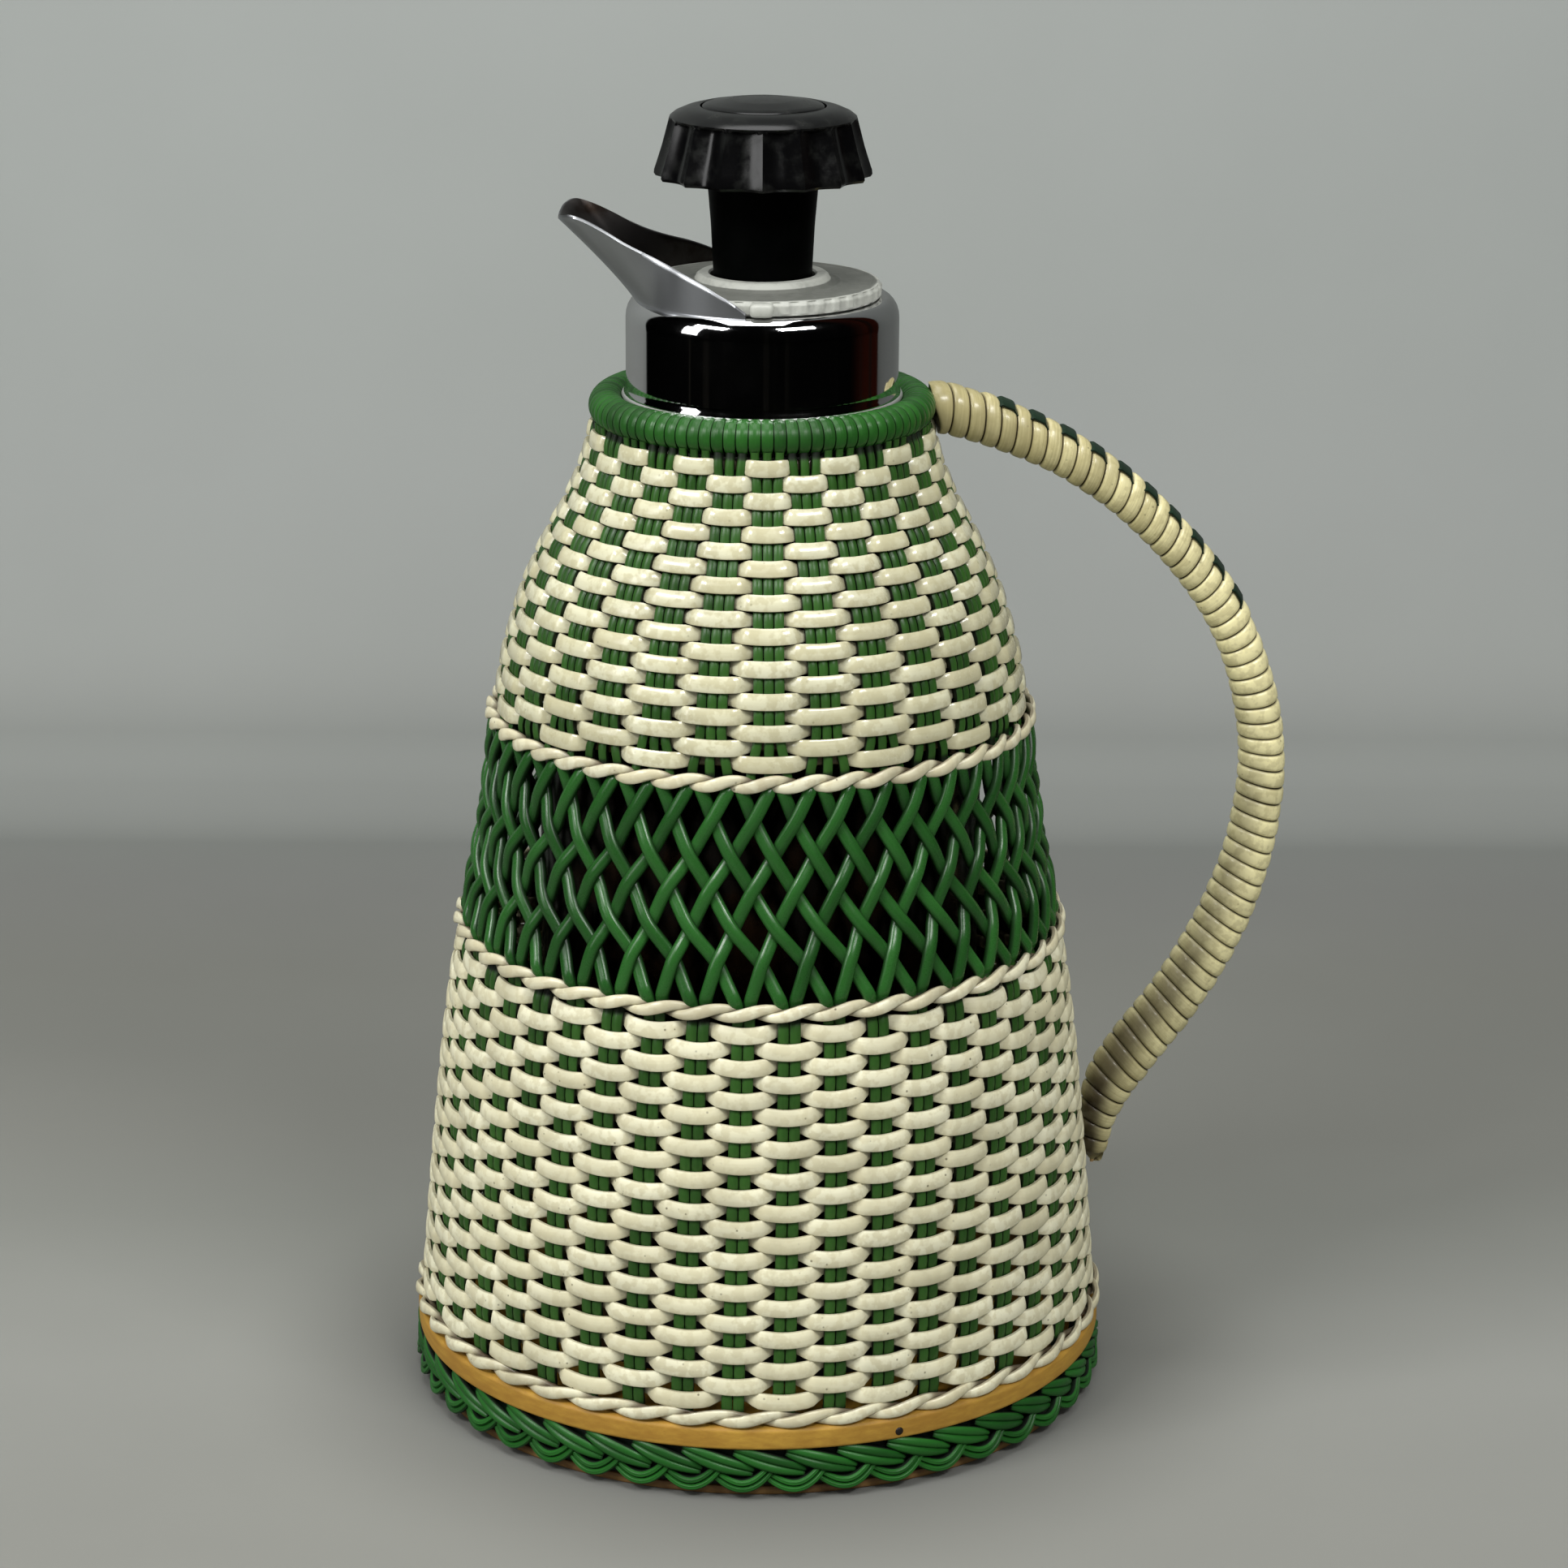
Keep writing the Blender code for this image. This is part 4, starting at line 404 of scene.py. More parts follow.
# A material whose Principled shader takes Base Color, Roughness and a bump from one group, with
# some of the group's inputs read from the mesh
def finishMaterial(name, group, values, bump, shader, attributes=()):
    tree, principled = newMaterial(name)
    for key, value in shader.items():
        principled[key].default_value = value
    values = {key: (*value, 1.0) if isinstance(value, tuple) else value for key, value in values.items()}
    for key in attributes:
        values[key] = put(tree, "Attribute", attribute_name=key.lower()).outputs["Fac"]
    finish = putGroup(tree, group, values)
    relief = put(tree, "Bump", {"Strength": bump, "Distance": 0.0002, "Height": finish["Height"]})
    give(tree, principled, **{"Base Color": finish["Colour"], "Roughness": finish["Roughness"],
                              "Normal": relief.outputs["Normal"]})


cordFinish, woodGrain, surfaceWear = makeCordFinish(), makeWoodGrain(), makeSurfaceWear()

# coats: specular level, coat weight and coat roughness
glossy, satin = (0.5, 0.25, 0.12), (0.35, 0.06, 0.3)
coatFields = ("Specular IOR Level", "Coat Weight", "Coat Roughness")
cordFields = ("Colour", "Dark Colour", "Grime Colour", "Groove", "Grime", "Mottle", "Specks", "Ribs", "Roughness")
# name, one value for each of cordFields, strength of the bump, coat
cords = [
    ("greenCord", (0.037, 0.122, 0.018), (0.018, 0.066, 0.009), (0.003, 0.006, 0.002),
     0.9, 0.15, 0.0, 0.2, 0.9, 0.36, 0.35, satin),
    ("greenHoop", (0.023, 0.124, 0.016), (0.012, 0.072, 0.009), (0.004, 0.012, 0.002),
     0.7, 0.3, 0.0, 0.15, 1.0, 0.34, 0.4, satin),
    ("greenBraid", (0.02, 0.142, 0.018), (0.01, 0.08, 0.01), (0.002, 0.007, 0.002),
     0.95, 0.2, 0.0, 0.15, 1.0, 0.36, 0.4, satin),
    ("greenLattice", (0.026, 0.128, 0.021), (0.013, 0.07, 0.011), (0.002, 0.006, 0.002),
     0.6, 0.15, 0.0, 0.2, 0.9, 0.26, 0.35, (0.4, 0.12, 0.22)),
    ("greenStrip", (0.01, 0.036, 0.016), (0.004, 0.016, 0.007), (0.004, 0.005, 0.003),
     0.3, 0.3, 0.0, 0.1, 0.6, 0.3, 0.3, satin),
    ("creamUpper", (0.77, 0.75, 0.54), (0.58, 0.54, 0.34), (0.11, 0.09, 0.035),
     0.42, 0.16, 0.75, 0.35, 0.35, 0.22, 0.2, (0.5, 0.5, 0.05)),
    ("creamLower", (0.9, 0.87, 0.64), (0.7, 0.65, 0.43), (0.11, 0.09, 0.035),
     0.38, 0.18, 0.75, 0.8, 0.35, 0.42, 0.25, (0.45, 0.08, 0.25)),
    ("creamTwine", (0.84, 0.81, 0.59), (0.64, 0.58, 0.38), (0.09, 0.06, 0.03),
     0.6, 0.26, 0.7, 0.8, 0.4, 0.34, 0.25, glossy),
    ("creamTape", (0.96, 0.88, 0.49), (0.44, 0.38, 0.18), (0.04, 0.027, 0.008),
     0.0, 0.22, 0.35, 0.5, 0.25, 0.3, 0.2, glossy),
]
for name, *values, bump, coat in cords:
    finishMaterial(name, cordFinish, dict(zip(cordFields, values)), bump, dict(zip(coatFields, coat)),
                   ("Tone", "Dive"))

# name, light and dark colour, plies, roughness, strength of the bump
woods = [
    ("boardWood", (0.56, 0.325, 0.042), (0.38, 0.19, 0.022), 0.04, 0.5, 0.12),
    ("plateWood", (0.3, 0.17, 0.05), (0.13, 0.06, 0.02), 0.1, 0.6, 0.3),
    ("caneCore", (0.56, 0.4, 0.2), (0.3, 0.18, 0.07), 0.0, 0.6, 0.3),
]
for name, *values, bump in woods:
    finishMaterial(name, woodGrain, dict(zip(("Light", "Dark", "Plies", "Roughness"), values)), bump, {})

wearFields = ("Colour", "Worn Colour", "Wear", "Scale", "Smooth", "Dull")
# name, one value for each of wearFields, strength of the bump, metallic, specular level
surfaces = [
    ("chrome", (0.8, 0.8, 0.81), (0.62, 0.6, 0.57), 0.35, 60.0, 0.035, 0.16, 0.03, 1.0, 0.5),
    # duller than the collar outside, tarnished inside
    ("spoutChrome", (0.56, 0.58, 0.6), (0.022, 0.013, 0.008), 0.1, 60.0, 0.36, 0.42, 0.02, 1.0, 0.5),
    ("dullMetal", (0.6, 0.6, 0.58), (0.26, 0.23, 0.19), 0.5, 120.0, 0.38, 0.55, 0.15, 0.6, 0.5),
    ("steel", (0.55, 0.54, 0.52), (0.32, 0.29, 0.26), 0.5, 80.0, 0.22, 0.45, 0.1, 1.0, 0.5),
    ("nailIron", (0.035, 0.028, 0.024), (0.09, 0.045, 0.02), 0.8, 400.0, 0.4, 0.7, 0.3, 0.6, 0.5),
    # the mirror is made near black: painted shade for the dark inside of the basket that it reflects
    ("silveredGlass", (0.02, 0.017, 0.015), (0.1, 0.045, 0.018), 0.7, 70.0, 0.12, 0.45, 0.12, 1.0, 0.5),
    ("whitePlastic", (0.5, 0.51, 0.46), (0.145, 0.15, 0.132), 0.4, 230.0, 0.4, 0.55, 0.08, 0.0, 0.4),
    ("blackPlastic", (0.002, 0.002, 0.0022), (0.016, 0.017, 0.015), 0.5, 190.0, 0.16, 0.38, 0.08, 0.0, 0.42),
    ("stemPlastic", (0.0005, 0.0007, 0.0006), (0.0015, 0.0018, 0.0016), 0.4, 140.0, 0.45, 0.6, 0.03, 0.0, 0.03),
    ("darkRubber", (0.03, 0.028, 0.026), (0.1, 0.09, 0.08), 0.6, 110.0, 0.6, 0.8, 0.2, 0.0, 0.5),
    ("sealRubber", (0.34, 0.12, 0.06), (0.22, 0.1, 0.06), 0.6, 120.0, 0.55, 0.75, 0.2, 0.0, 0.5),
    ("spacerPad", (0.72, 0.7, 0.64), (0.52, 0.47, 0.38), 0.6, 200.0, 0.75, 0.9, 0.3, 0.0, 0.5),
]
for name, *values, bump, metallic, specular in surfaces:
    finishMaterial(name, surfaceWear, dict(zip(wearFields, values)), bump,
                   {"Metallic": metallic, "Specular IOR Level": specular},
                   ("Soil",) if name in ("spoutChrome", "whitePlastic") else ())
print("materials:", len(bpy.data.materials))


# Woven bands
# A horizontal strip runs round and round as one spiral. With an odd number of columns it passes
# over a column in one row and under it in the next. It keeps level, and steps down behind.
def wovenStrip(band):
    columns = band["columns"]
    column = np.arange(band["rows"] * columns * band["perColumn"] + 1) / band["perColumn"]
    angle = band["startAngle"] + column * 360.0 / columns
    inTurn = (angle - band["startAngle"]) / 360.0
    turn = np.floor(inTurn + 1e-9)
    stepDown = smooth((inTurn - turn - 1.0 + band["stepPart"]) / band["stepPart"])
    height = band["topRow"] - band["pitch"] * (turn + stepDown)
    crossing = (angle - columnAngle(band, height)) * columns / 360.0
    # level over most of the column, then a slant down behind the next one
    wave = np.clip(band["flat"] * np.cos(np.pi * crossing) + band["longer"], -1.0, 1.0)
    wave = wave * (1.5 - 0.5 * wave * wave)
    depth = band["swing"] + band["sink"] - band["swing"] * wave
    # it also hangs a little where it is in front, like a shallow smile
    path, outward = onWall(angle, height - band["sag"] / 2.0 * np.cos(np.pi * crossing), depth)
    fromOver = np.abs((crossing + 1.0) % 2.0 - 1.0)
    return path[None], outward[None], fromOver, column


def columnAngle(band, height):
    return band["columnAngle"] - (band["topRow"] - height) * band["lean"]


# Upright strands, a few in each column, which bow out where the strip is behind them
def wovenStrands(band):
    columns, each = band["columns"], band["each"]
    height = np.linspace(band["strandLow"], band["strandHigh"], int(band["rows"] * band["perRow"]) + 1)
    strand = np.arange(columns * each)
    column = strand // each
    within = strand % each - (each - 1) / 2.0
    radius = np.interp(height, wallHeights, wallRadii)
    centre = columnAngle(band, height)[None, :] + (column * 360.0 / columns)[:, None]
    gathered = np.degrees(within[:, None] * band["spacing"] / radius[None, :])
    even = within[:, None] * 360.0 / columns / each
    fan = smooth((height - band["fanLow"]) / (band["fanHigh"] - band["fanLow"]))[None, :]
    foot = band["footFan"] * smooth((band["footHigh"] - height) / (band["footHigh"] - band["strandLow"]))[None, :]
    angle = centre + gathered * (1.0 - np.maximum(fan, foot)) + even * np.maximum(fan, foot)
    # the spiral reaches the last columns a turn sooner, and with an odd number that swaps over and under
    late = centre[:, centre.shape[1] // 2] >= band["startAngle"] + 360.0
    sign = np.where((column + columns * late) % 2 == 0, 1.0, -1.0)[:, None]
    row = np.pi * (band["topRow"] - height)[None, :] / band["pitch"]
    wave = np.cos(row) * sign
    # painted shade on each strand where it passes behind a strip and just below it
    shaded = np.clip(0.5 + 0.5 * wave + 0.4 * np.maximum(np.sin(row) * sign, 0.0), 0.0, 1.0)
    path, outward = onWall(angle, height, band["swing"] + band["sink"] + band["bow"] * wave)
    wide = band["strandWide"] / 2.0 * (1.0 - band["fanPinch"] * fan)
    return path, outward, np.broadcast_to(wide, angle.shape), shaded


def buildBand(band, name, stripMaterial, node, seed):
    random = np.random.default_rng(seed)
    path, outward, fromOver, column = wovenStrip(band)
    tall = band["stripTall"] / 2.0 * (1.0 - band["pinch"] * smooth((fromOver - band["taper"]) / 0.42))
    # painted shade on the strip's tips, where they tuck behind the strands
    dive = 0.5 + 0.45 * smooth((fromOver - band["tuck"] + 0.1) / 0.16)
    tones = random.uniform(0.2, 1.0, band["columns"] * band["rows"] + 2)
    addPiece(name + "Strips", node, "cream_cord", stripMaterial,
             sweep(path, outward, tall[None], band["stripThick"] / 2.0, sides=10, square=0.62),
             tone=np.interp(column, np.arange(len(tones)), tones), dive=dive)
    path, outward, wide, dive = wovenStrands(band)
    addPiece(name + "Strands", node, "green_cord", "greenCord",
             sweep(path, outward, wide, band["strandDeep"] / 2.0, square=0.8),
             tone=random.uniform(0.2, 1.0, len(path)), dive=dive)


upperBand = {
    "columns": 29, "rows": 19, "topRow": 232.1, "pitch": 3.46, "startAngle": -150.0, "stepPart": 0.16,
    "columnAngle": 2.1, "lean": 0.0, "flat": 1.6, "longer": 0.3, "swing": 1.45, "sink": 0.7, "bow": 0.3,
    "stripTall": 3.9, "stripThick": 1.3, "pinch": 0.38, "taper": 0.38, "tuck": 0.74, "sag": 0.5,
    "each": 3, "spacing": 2.45, "strandWide": 2.3, "strandDeep": 1.9, "strandLow": 165.6, "strandHigh": 235.5,
    "fanLow": 227.5, "fanHigh": 235.5, "fanPinch": 0.12, "footFan": 0.85, "footHigh": 177.0,
    "perColumn": 12, "perRow": 4,
}
lowerBand = {
    "columns": 43, "rows": 24, "topRow": 109.7, "pitch": 3.72, "startAngle": -150.0, "stepPart": 0.16,
    "columnAngle": -2.6, "lean": 0.0133, "flat": 2.1, "longer": 0.72, "swing": 1.45, "sink": 0.7, "bow": 0.3,
    "stripTall": 3.95, "stripThick": 1.4, "pinch": 0.26, "taper": 0.42, "tuck": 0.82, "sag": 1.25,
    "each": 2, "spacing": 2.75, "strandWide": 2.65, "strandDeep": 1.9, "strandLow": 18.4, "strandHigh": 115.6,
    # its strands stay gathered: the fan would begin above the band, and the one at the foot is 0
    "fanLow": 300.0, "fanHigh": 301.0, "fanPinch": 0.0, "footFan": 0.0, "footHigh": 20.0,
    "perColumn": 9, "perRow": 3.5,
}
buildBand(upperBand, "upper", "creamUpper", "upper_weave", 3)
print("upper band woven")
buildBand(lowerBand, "lower", "creamLower", "lower_weave", 5)
print("lower band woven")


# Twined rows: two cords wind round each other, so each shows as a row of leaning lenses
twine = {"proud": 1.25, "rise": 1.0, "wide": 3.0, "thick": 1.6, "perLens": 10}


def buildTwine(name, height, phase, node, seed, stretch=1.0):
    columns = basket["columns"]
    count = columns * twine["perLens"]
    angle = np.arange(count) * 360.0 / count
    wind = np.radians(columns / 2.0 * angle + phase)
    # half a turn a column: an odd number of columns leads one cord into the other
    winds = np.concatenate([wind, wind + np.pi * columns])
    angles = np.concatenate([angle, angle + 360.0])
    lift = np.sin(winds) * twine["rise"] * stretch
    path, outward = onWall(angles, height + lift, 0.5 - twine["proud"] * np.cos(winds))
    wide = twine["wide"] / 2.0 * (0.7 + 0.3 * np.cos(winds))
    tones = np.random.default_rng(seed).uniform(0.2, 1.0, 2 * columns + 1)
    # painted shade on each cord where it winds behind the other
    addPiece(name, node, "cream_cord", "creamTwine",
             sweep(path[None], outward[None], wide[None], twine["thick"] / 2.0, sides=10, square=0.8, closed=True),
             tone=np.interp(np.arange(2 * count) / twine["perLens"], np.arange(len(tones)), tones),
             dive=(1.0 - np.cos(winds)) / 2.0)


buildTwine("twineUpper", 165.3, 0.0, "twine_upper", 11)
buildTwine("twineMiddle", 114.2, 40.0, "twine_middle", 12)
buildTwine("twineBottom", 19.9, 20.0, "twine_bottom", 13, 0.9)
print("twined rows laid")


# Open band
# Two sets of slanting strands cross five times. How far a strand has drifted, in columns, is read
# from a table of the band's height, and it rides over or under in turn.
lattice = {
    "high": 163.4, "low": 116.3, "wide": 3.2, "thick": 2.4, "over": 0.78, "depth": 0.95, "tuck": 1.9, "steps": 72,
    "parts": [-0.06, 0.0, 0.129, 0.311, 0.477, 0.659, 0.818, 1.0, 1.07],
    "drift": [-0.12, 0.0, 0.25, 0.75, 1.25, 1.75, 2.25, 2.6, 2.62],
    "riseDrift": [-0.27, -0.15, 0.19, 0.72, 1.25, 1.75, 2.25, 2.6, 2.62],
    "sway": [0.0, 0.0, 0.0, 0.0, 0.0, 0.6, 2.0, 2.8, 2.9],
    "firstAngle": -3.39, "secondAngle": 0.79,
}


def buildLattice():
    columns = basket["columns"]
    step = 360.0 / columns
    parts = np.linspace(lattice["parts"][0], lattice["parts"][-1], lattice["steps"])
    height = lattice["high"] - parts * (lattice["high"] - lattice["low"])

    def follow(key, reach):
        return np.interp(parts * 100.0, *softTable(np.array(lattice["parts"]) * 100.0, lattice[key], reach))

    drift, sway = follow("drift", 9.0), follow("sway", 14.0)
    strand = np.arange(columns)[:, None] * step
    falling = lattice["firstAngle"] + step * drift[None] + sway[None] + strand
    rising = lattice["secondAngle"] - step * follow("riseDrift", 9.0)[None] + sway[None] + strand
    # rows 1, 3 and 5 have the rising strand over: half a wave between crossings
    wave = np.cos(np.pi * (drift * 2.0 - 0.5))
    ends = lattice["tuck"] * (smooth((0.0 - parts) / 0.05) + smooth((parts - 0.97) / 0.08))
    risePath, riseOut = onWall(rising, height, lattice["depth"] - lattice["over"] * wave + ends)
    fallPath, fallOut = onWall(falling, height, lattice["depth"] + lattice["over"] * wave + ends)
    paths, outs = np.concatenate([risePath, fallPath]), np.concatenate([riseOut, fallOut])
    # painted shade on each strand where it passes under the other set
    dive = np.repeat([(1 - wave) / 2, (1 + wave) / 2], columns, axis=0) * 0.72
    addPiece("latticeStrands", "lattice", "green_cord", "greenLattice",
             sweep(paths, outs, lattice["wide"] / 2.0, lattice["thick"] / 2.0, sides=10, square=0.9),
             tone=np.random.default_rng(21).uniform(0.2, 1.0, len(paths)), dive=dive)


buildLattice()
print("open band laid")


# Foot
# Under the board the strand ends are plaited: each pair leans down to the right as a long leaf, and
# comes back up behind the next one as a hook. Lengths are in columns.
footBraid = {
    "radius": 82.3, "steps": 22, "thick": 2.1,
    "leaf": {"start": -3.4, "long": 1.36, "wide": 2.3, "apart": 1.05, "blunt": 0.45,
             "inset": 1.5, "bulge": 1.7, "bulgeFrom": 0.1, "bulgeLong": 0.82},
    "hook": {"start": 2.0, "long": 1.04, "wide": 1.65, "apart": 0.8, "blunt": 0.75,
             "inset": 1.4, "bulge": 1.75, "bulgeFrom": 0.05, "bulgeLong": 0.78},
    "leafTop": 11.5, "leafFall": 5.0, "leafCurve": 1.15,
    "hookParts": [0.0, 0.15, 0.35, 0.5, 0.65, 0.8, 1.0], "hookHeights": [5.7, 4.6, 3.7, 3.5, 3.9, 5.0, 7.4],
    "inside": [(69.0, 2.5), (80.0, 2.5), (80.6, 4.0), (80.6, 11.0), (80.0, 12.2), (69.0, 12.2)],
}


# A cord's place is the pair's line moved sideways by half the gap, along the line's own normal.
# Leaf heights fall evenly; hook heights are a quartic through the listed ones.
def buildFootBraid():
    columns = basket["columns"]
    step = 360.0 / columns
    part = np.linspace(0.0, 1.0, footBraid["steps"])
    unitTurn = np.arange(columns)[:, None] * step

    def cordPair(pair, heights):
        angles = pair["start"] + pair["long"] * step * part
        bulge = np.sin(np.pi * (pair["bulgeFrom"] + pair["bulgeLong"] * part))
        radii = footBraid["radius"] - pair["inset"] + pair["bulge"] * bulge
        slopeAngle = np.gradient(angles) * math.pi / 180.0 * footBraid["radius"]
        slopeHeight = np.gradient(heights)
        size = np.hypot(slopeAngle, slopeHeight)
        ends = pair["blunt"] + (1.0 - pair["blunt"]) * np.sin(np.pi * np.clip(part, 0.01, 0.99)) ** 0.6
        paths = []
        for side in (-1.0, 1.0):
            shift = side * pair["apart"] * ends
            turned = angles - np.degrees(slopeHeight / size * shift / footBraid["radius"])
            paths.append(around(radii[None], turned[None] + unitTurn, heights + slopeAngle / size * shift))
        paths = np.concatenate(paths)
        sizes = [np.broadcast_to(row, paths.shape[:2])
                 for row in (pair["wide"] / 2.0 * ends, footBraid["thick"] / 2.0 * ends ** 0.5)]
        return paths, *sizes

    leaf = cordPair(footBraid["leaf"], footBraid["leafTop"] - footBraid["leafFall"] * part ** footBraid["leafCurve"])
    dip = np.polyval(np.polyfit(footBraid["hookParts"], footBraid["hookHeights"], 4), part)
    hook = cordPair(footBraid["hook"], dip)
    paths, wide, deep = [np.concatenate(rows) for rows in zip(leaf, hook)]
    # painted shade at both ends of every leaf and hook, where they tuck under the next
    addPiece("footBraid", "foot_braid", "green_cord", "greenBraid",
             sweep(paths, unit(paths * np.array([1.0, 1.0, 0.0])), wide, deep, square=0.9),
             tone=np.random.default_rng(31).uniform(0.2, 1.0, len(paths)),
             dive=np.tile(np.abs(part * 2 - 1) ** 6 * 0.85, len(paths)))
    addPiece("footBraidInside", "foot_braid", "green_cord", "greenStrip", lathe(footBraid["inside"], 86))


buildFootBraid()

foot = {"boardRadius": 83.0, "opening": 56.0, "low": 12.5, "high": 18.0, "edge": 0.7,
        "plateRadius": 80.0, "plateThick": 2.0, "plateEdge": 0.4}
nail = {"turn": 23.4, "height": 14.4, "radius": 1.0, "dome": 0.45, "shank": 3.0, "sunk": 0.05}


def buildFoot():
    inner, outer, low, high = foot["opening"], foot["boardRadius"], foot["low"], foot["high"]
    outline = [(inner, low), (outer, low), (outer, high - 0.9), (outer - 0.5, high - 0.3), (outer - 1.5, high),
               (inner, high), (inner, low)]
    addPiece("baseBoard", "base_board", "ply", "boardWood", lathe(roundCorners(outline, foot["edge"])[:-1], 160))
    outline = [(0.0, 0.0), (foot["plateRadius"], 0.0), (foot["plateRadius"], foot["plateThick"]),
               (0.0, foot["plateThick"])]
    addPiece("bottomPlate", "bottom_plate", "ply", "plateWood",
             lathe(roundCorners(outline, foot["plateEdge"]), 160, closed=False))
    # nail head: a low dome on the board's edge
    part = np.linspace(0.0, 0.5 * np.pi, 7)
    outline = np.stack([nail["radius"] * np.sin(part), nail["dome"] * np.cos(part)], -1)
    outline = np.concatenate([outline, [(nail["radius"], -nail["shank"]), (0.0, -nail["shank"])]])[::-1]
    points, faces = lathe(outline, 20, closed=False)
    out, side = around(1.0, nail["turn"], 0.0), around(1.0, nail["turn"] + 90.0, 0.0)
    placed = (out * (outer - nail["sunk"] + points[:, 2:]) + side * points[:, :1]
              + np.array([0.0, 0.0, 1.0]) * (nail["height"] + points[:, 1:2]))
    addPiece("edgeNail", "edge_nail", "iron", "nailIron", (placed, faces))


buildFoot()
print("foot built")


# Rim
rim = {"major": 36.0, "tube": 4.15, "height": 238.0, "firstWrap": 2.1, "wraps": 87, "wide": 2.82, "thick": 1.25,
       "steps": 30, "pinch": 0.16, "pinchTurn": 300.0, "pinchWide": 26.0}


# The strands wrap over the rim: a flat loop round the hoop for each strand
def buildRim():
    wraps = rim["wraps"]
    angle = rim["firstWrap"] + (np.arange(wraps) - 1.0) * 360.0 / wraps
    part = 2.0 * np.pi * np.arange(rim["steps"]) / rim["steps"]
    tube = rim["tube"] - rim["thick"] / 2.0
    radius = rim["major"] + tube * np.cos(part)
    paths = around(radius[None], angle[:, None], rim["height"] + tube * np.sin(part)[None])
    outs = unit(paths - around(rim["major"], angle, rim["height"])[:, None])
    below = np.exp(-((np.degrees(part) - rim["pinchTurn"]) / rim["pinchWide"]) ** 2)
    wide = np.minimum(np.pi * 2.0 * radius / wraps * 1.02, rim["wide"]) * (1.0 - rim["pinch"] * below)
    # painted shade on the loops below the hoop and on its inner side
    addPiece("rimLoops", "rim_hoop", "green_cord", "greenHoop",
             sweep(paths, outs, wide / 2.0, rim["thick"] / 2.0, square=0.8, closed=True),
             tone=np.random.default_rng(41).uniform(0.2, 1.0, wraps),
             dive=np.tile(0.5 * below + 0.4 * (np.cos(part) < -0.4), wraps))
    ring = np.stack([rim["major"] + (tube - 0.5) * np.cos(part), rim["height"] + (tube - 0.5) * np.sin(part)], -1)
    addPiece("rimCore", "rim_hoop", "green_cord", "greenStrip", lathe(ring, 96))


buildRim()
print("rim wrapped")


# Handle
handle = {
    "turn": 9.0,
    # centre line from the rim to the lower band: distance from the axis, height, radius
    "stations": [
        (38.9, 235.9, 6.2), (44.0, 235.7, 6.1), (58.8, 230.35, 5.6), (73.85, 222.85, 5.25),
        (89.5, 211.2, 5.05), (104.3, 195.4, 5.05), (114.0, 180.0, 5.2), (119.6, 164.4, 5.45),
        (122.0, 149.0, 5.65), (121.15, 133.9, 5.95), (117.9, 118.9, 6.25), (111.75, 103.7, 6.55),
        (102.8, 88.5, 6.75), (93.6, 76.5, 6.8), (87.4, 67.6, 6.4), (84.3, 59.0, 4.9),
        (83.5, 51.0, 3.4), (82.95, 45.5, 2.3),
    ],
    "wraps": 60, "around": 30, "seam": 0.75, "uneven": 0.14,
    # how far each wrap leans along the handle, in mm, at parts of its length
    "tiltParts": [0.0, 0.28, 0.4, 0.55, 1.0], "tilts": [-0.8, -0.8, 0.0, 1.7, 2.1], "tiltSide": 0.4,
    # how light the tape is along the handle: greyer at the top, lighter in the middle as painted light,
    # and darker low down, with dirt and painted shade
    "toneParts": [0.0, 0.12, 0.3, 0.45, 0.62, 0.72, 0.85, 1.0],
    "tones": [0.18, 0.24, 0.75, 1.2, 1.2, 1.0, 0.65, 0.3],
    # the dark line that runs down the lower half, by the turn round the handle: dirt, and painted shade
    # on the side turned away from the light
    "soilTurn": 132.0, "soilWide": 50.0,
    "soilParts": [0.0, 0.42, 0.56, 0.9, 1.0], "soils": [0.0, 0.04, 0.46, 0.92, 0.95],
    "leaderWide": 5.0, "leaderThick": 0.7, "leaderTurn": 15.0, "leaderFrom": 4, "leaderTo": 22, "leaderSteps": 14,
}


# Centre line through the stations as a smooth cubic, resampled to even lengths
def handleLine(count):
    line = throughRows(handle["stations"], np.linspace(0.0, len(handle["stations"]) - 1, 2001))
    lengths = np.concatenate([[0.0], np.cumsum(np.hypot(*np.diff(line[:, :2], axis=0).T))])
    wanted = np.linspace(0.0, lengths[-1], count)
    return np.stack([np.interp(wanted, lengths, line[:, axis]) for axis in range(3)], -1), lengths[-1]


handleRows, handleLength = handleLine(3001)


# Centre, two directions across the handle and its radius, at parts of its length
def handleFrame(positions):
    grid = np.arange(len(handleRows))
    place = np.clip(positions, 0.0, 1.0) * grid[-1]
    reach, height, radius = [np.interp(place, grid, handleRows[:, axis]) for axis in range(3)]
    slopeReach, slopeHeight = [np.interp(place, grid, np.gradient(handleRows[:, axis])) for axis in range(2)]
    outward, side = [around(1.0, handle["turn"] + turn, 0.0) for turn in (90.0, 180.0)]
    up = np.array([0.0, 0.0, 1.0])
    along = unit(outward * slopeReach[..., None] + up * slopeHeight[..., None])
    centre = outward * reach[..., None] + up * height[..., None]
    return centre, np.cross(along, side), side, radius


# The lean of the wraps along the handle, in mm: tilt * cos + a little * sin of the turn round it
def wrapLean(part, phase):
    tilt = np.interp(part, handle["tiltParts"], handle["tilts"])
    return tilt * np.cos(phase) + handle["tiltSide"] * np.sin(phase)


# How much the tape bulges or is pressed down where the green strip crosses it: +1 over it, -1 under
def overLeader(t, phase):
    wrap = np.floor(t - handle["leaderTurn"] / 360.0 + 0.5)
    inside = (wrap > handle["leaderFrom"] - 1.5) & (wrap < handle["leaderTo"] + 1.5)
    sign = np.where((wrap - handle["leaderFrom"]) % 2 == 0, -1.0, 1.0)
    return inside * sign * np.exp(-(turnFrom(phase, handle["leaderTurn"]) / 27.0) ** 4)


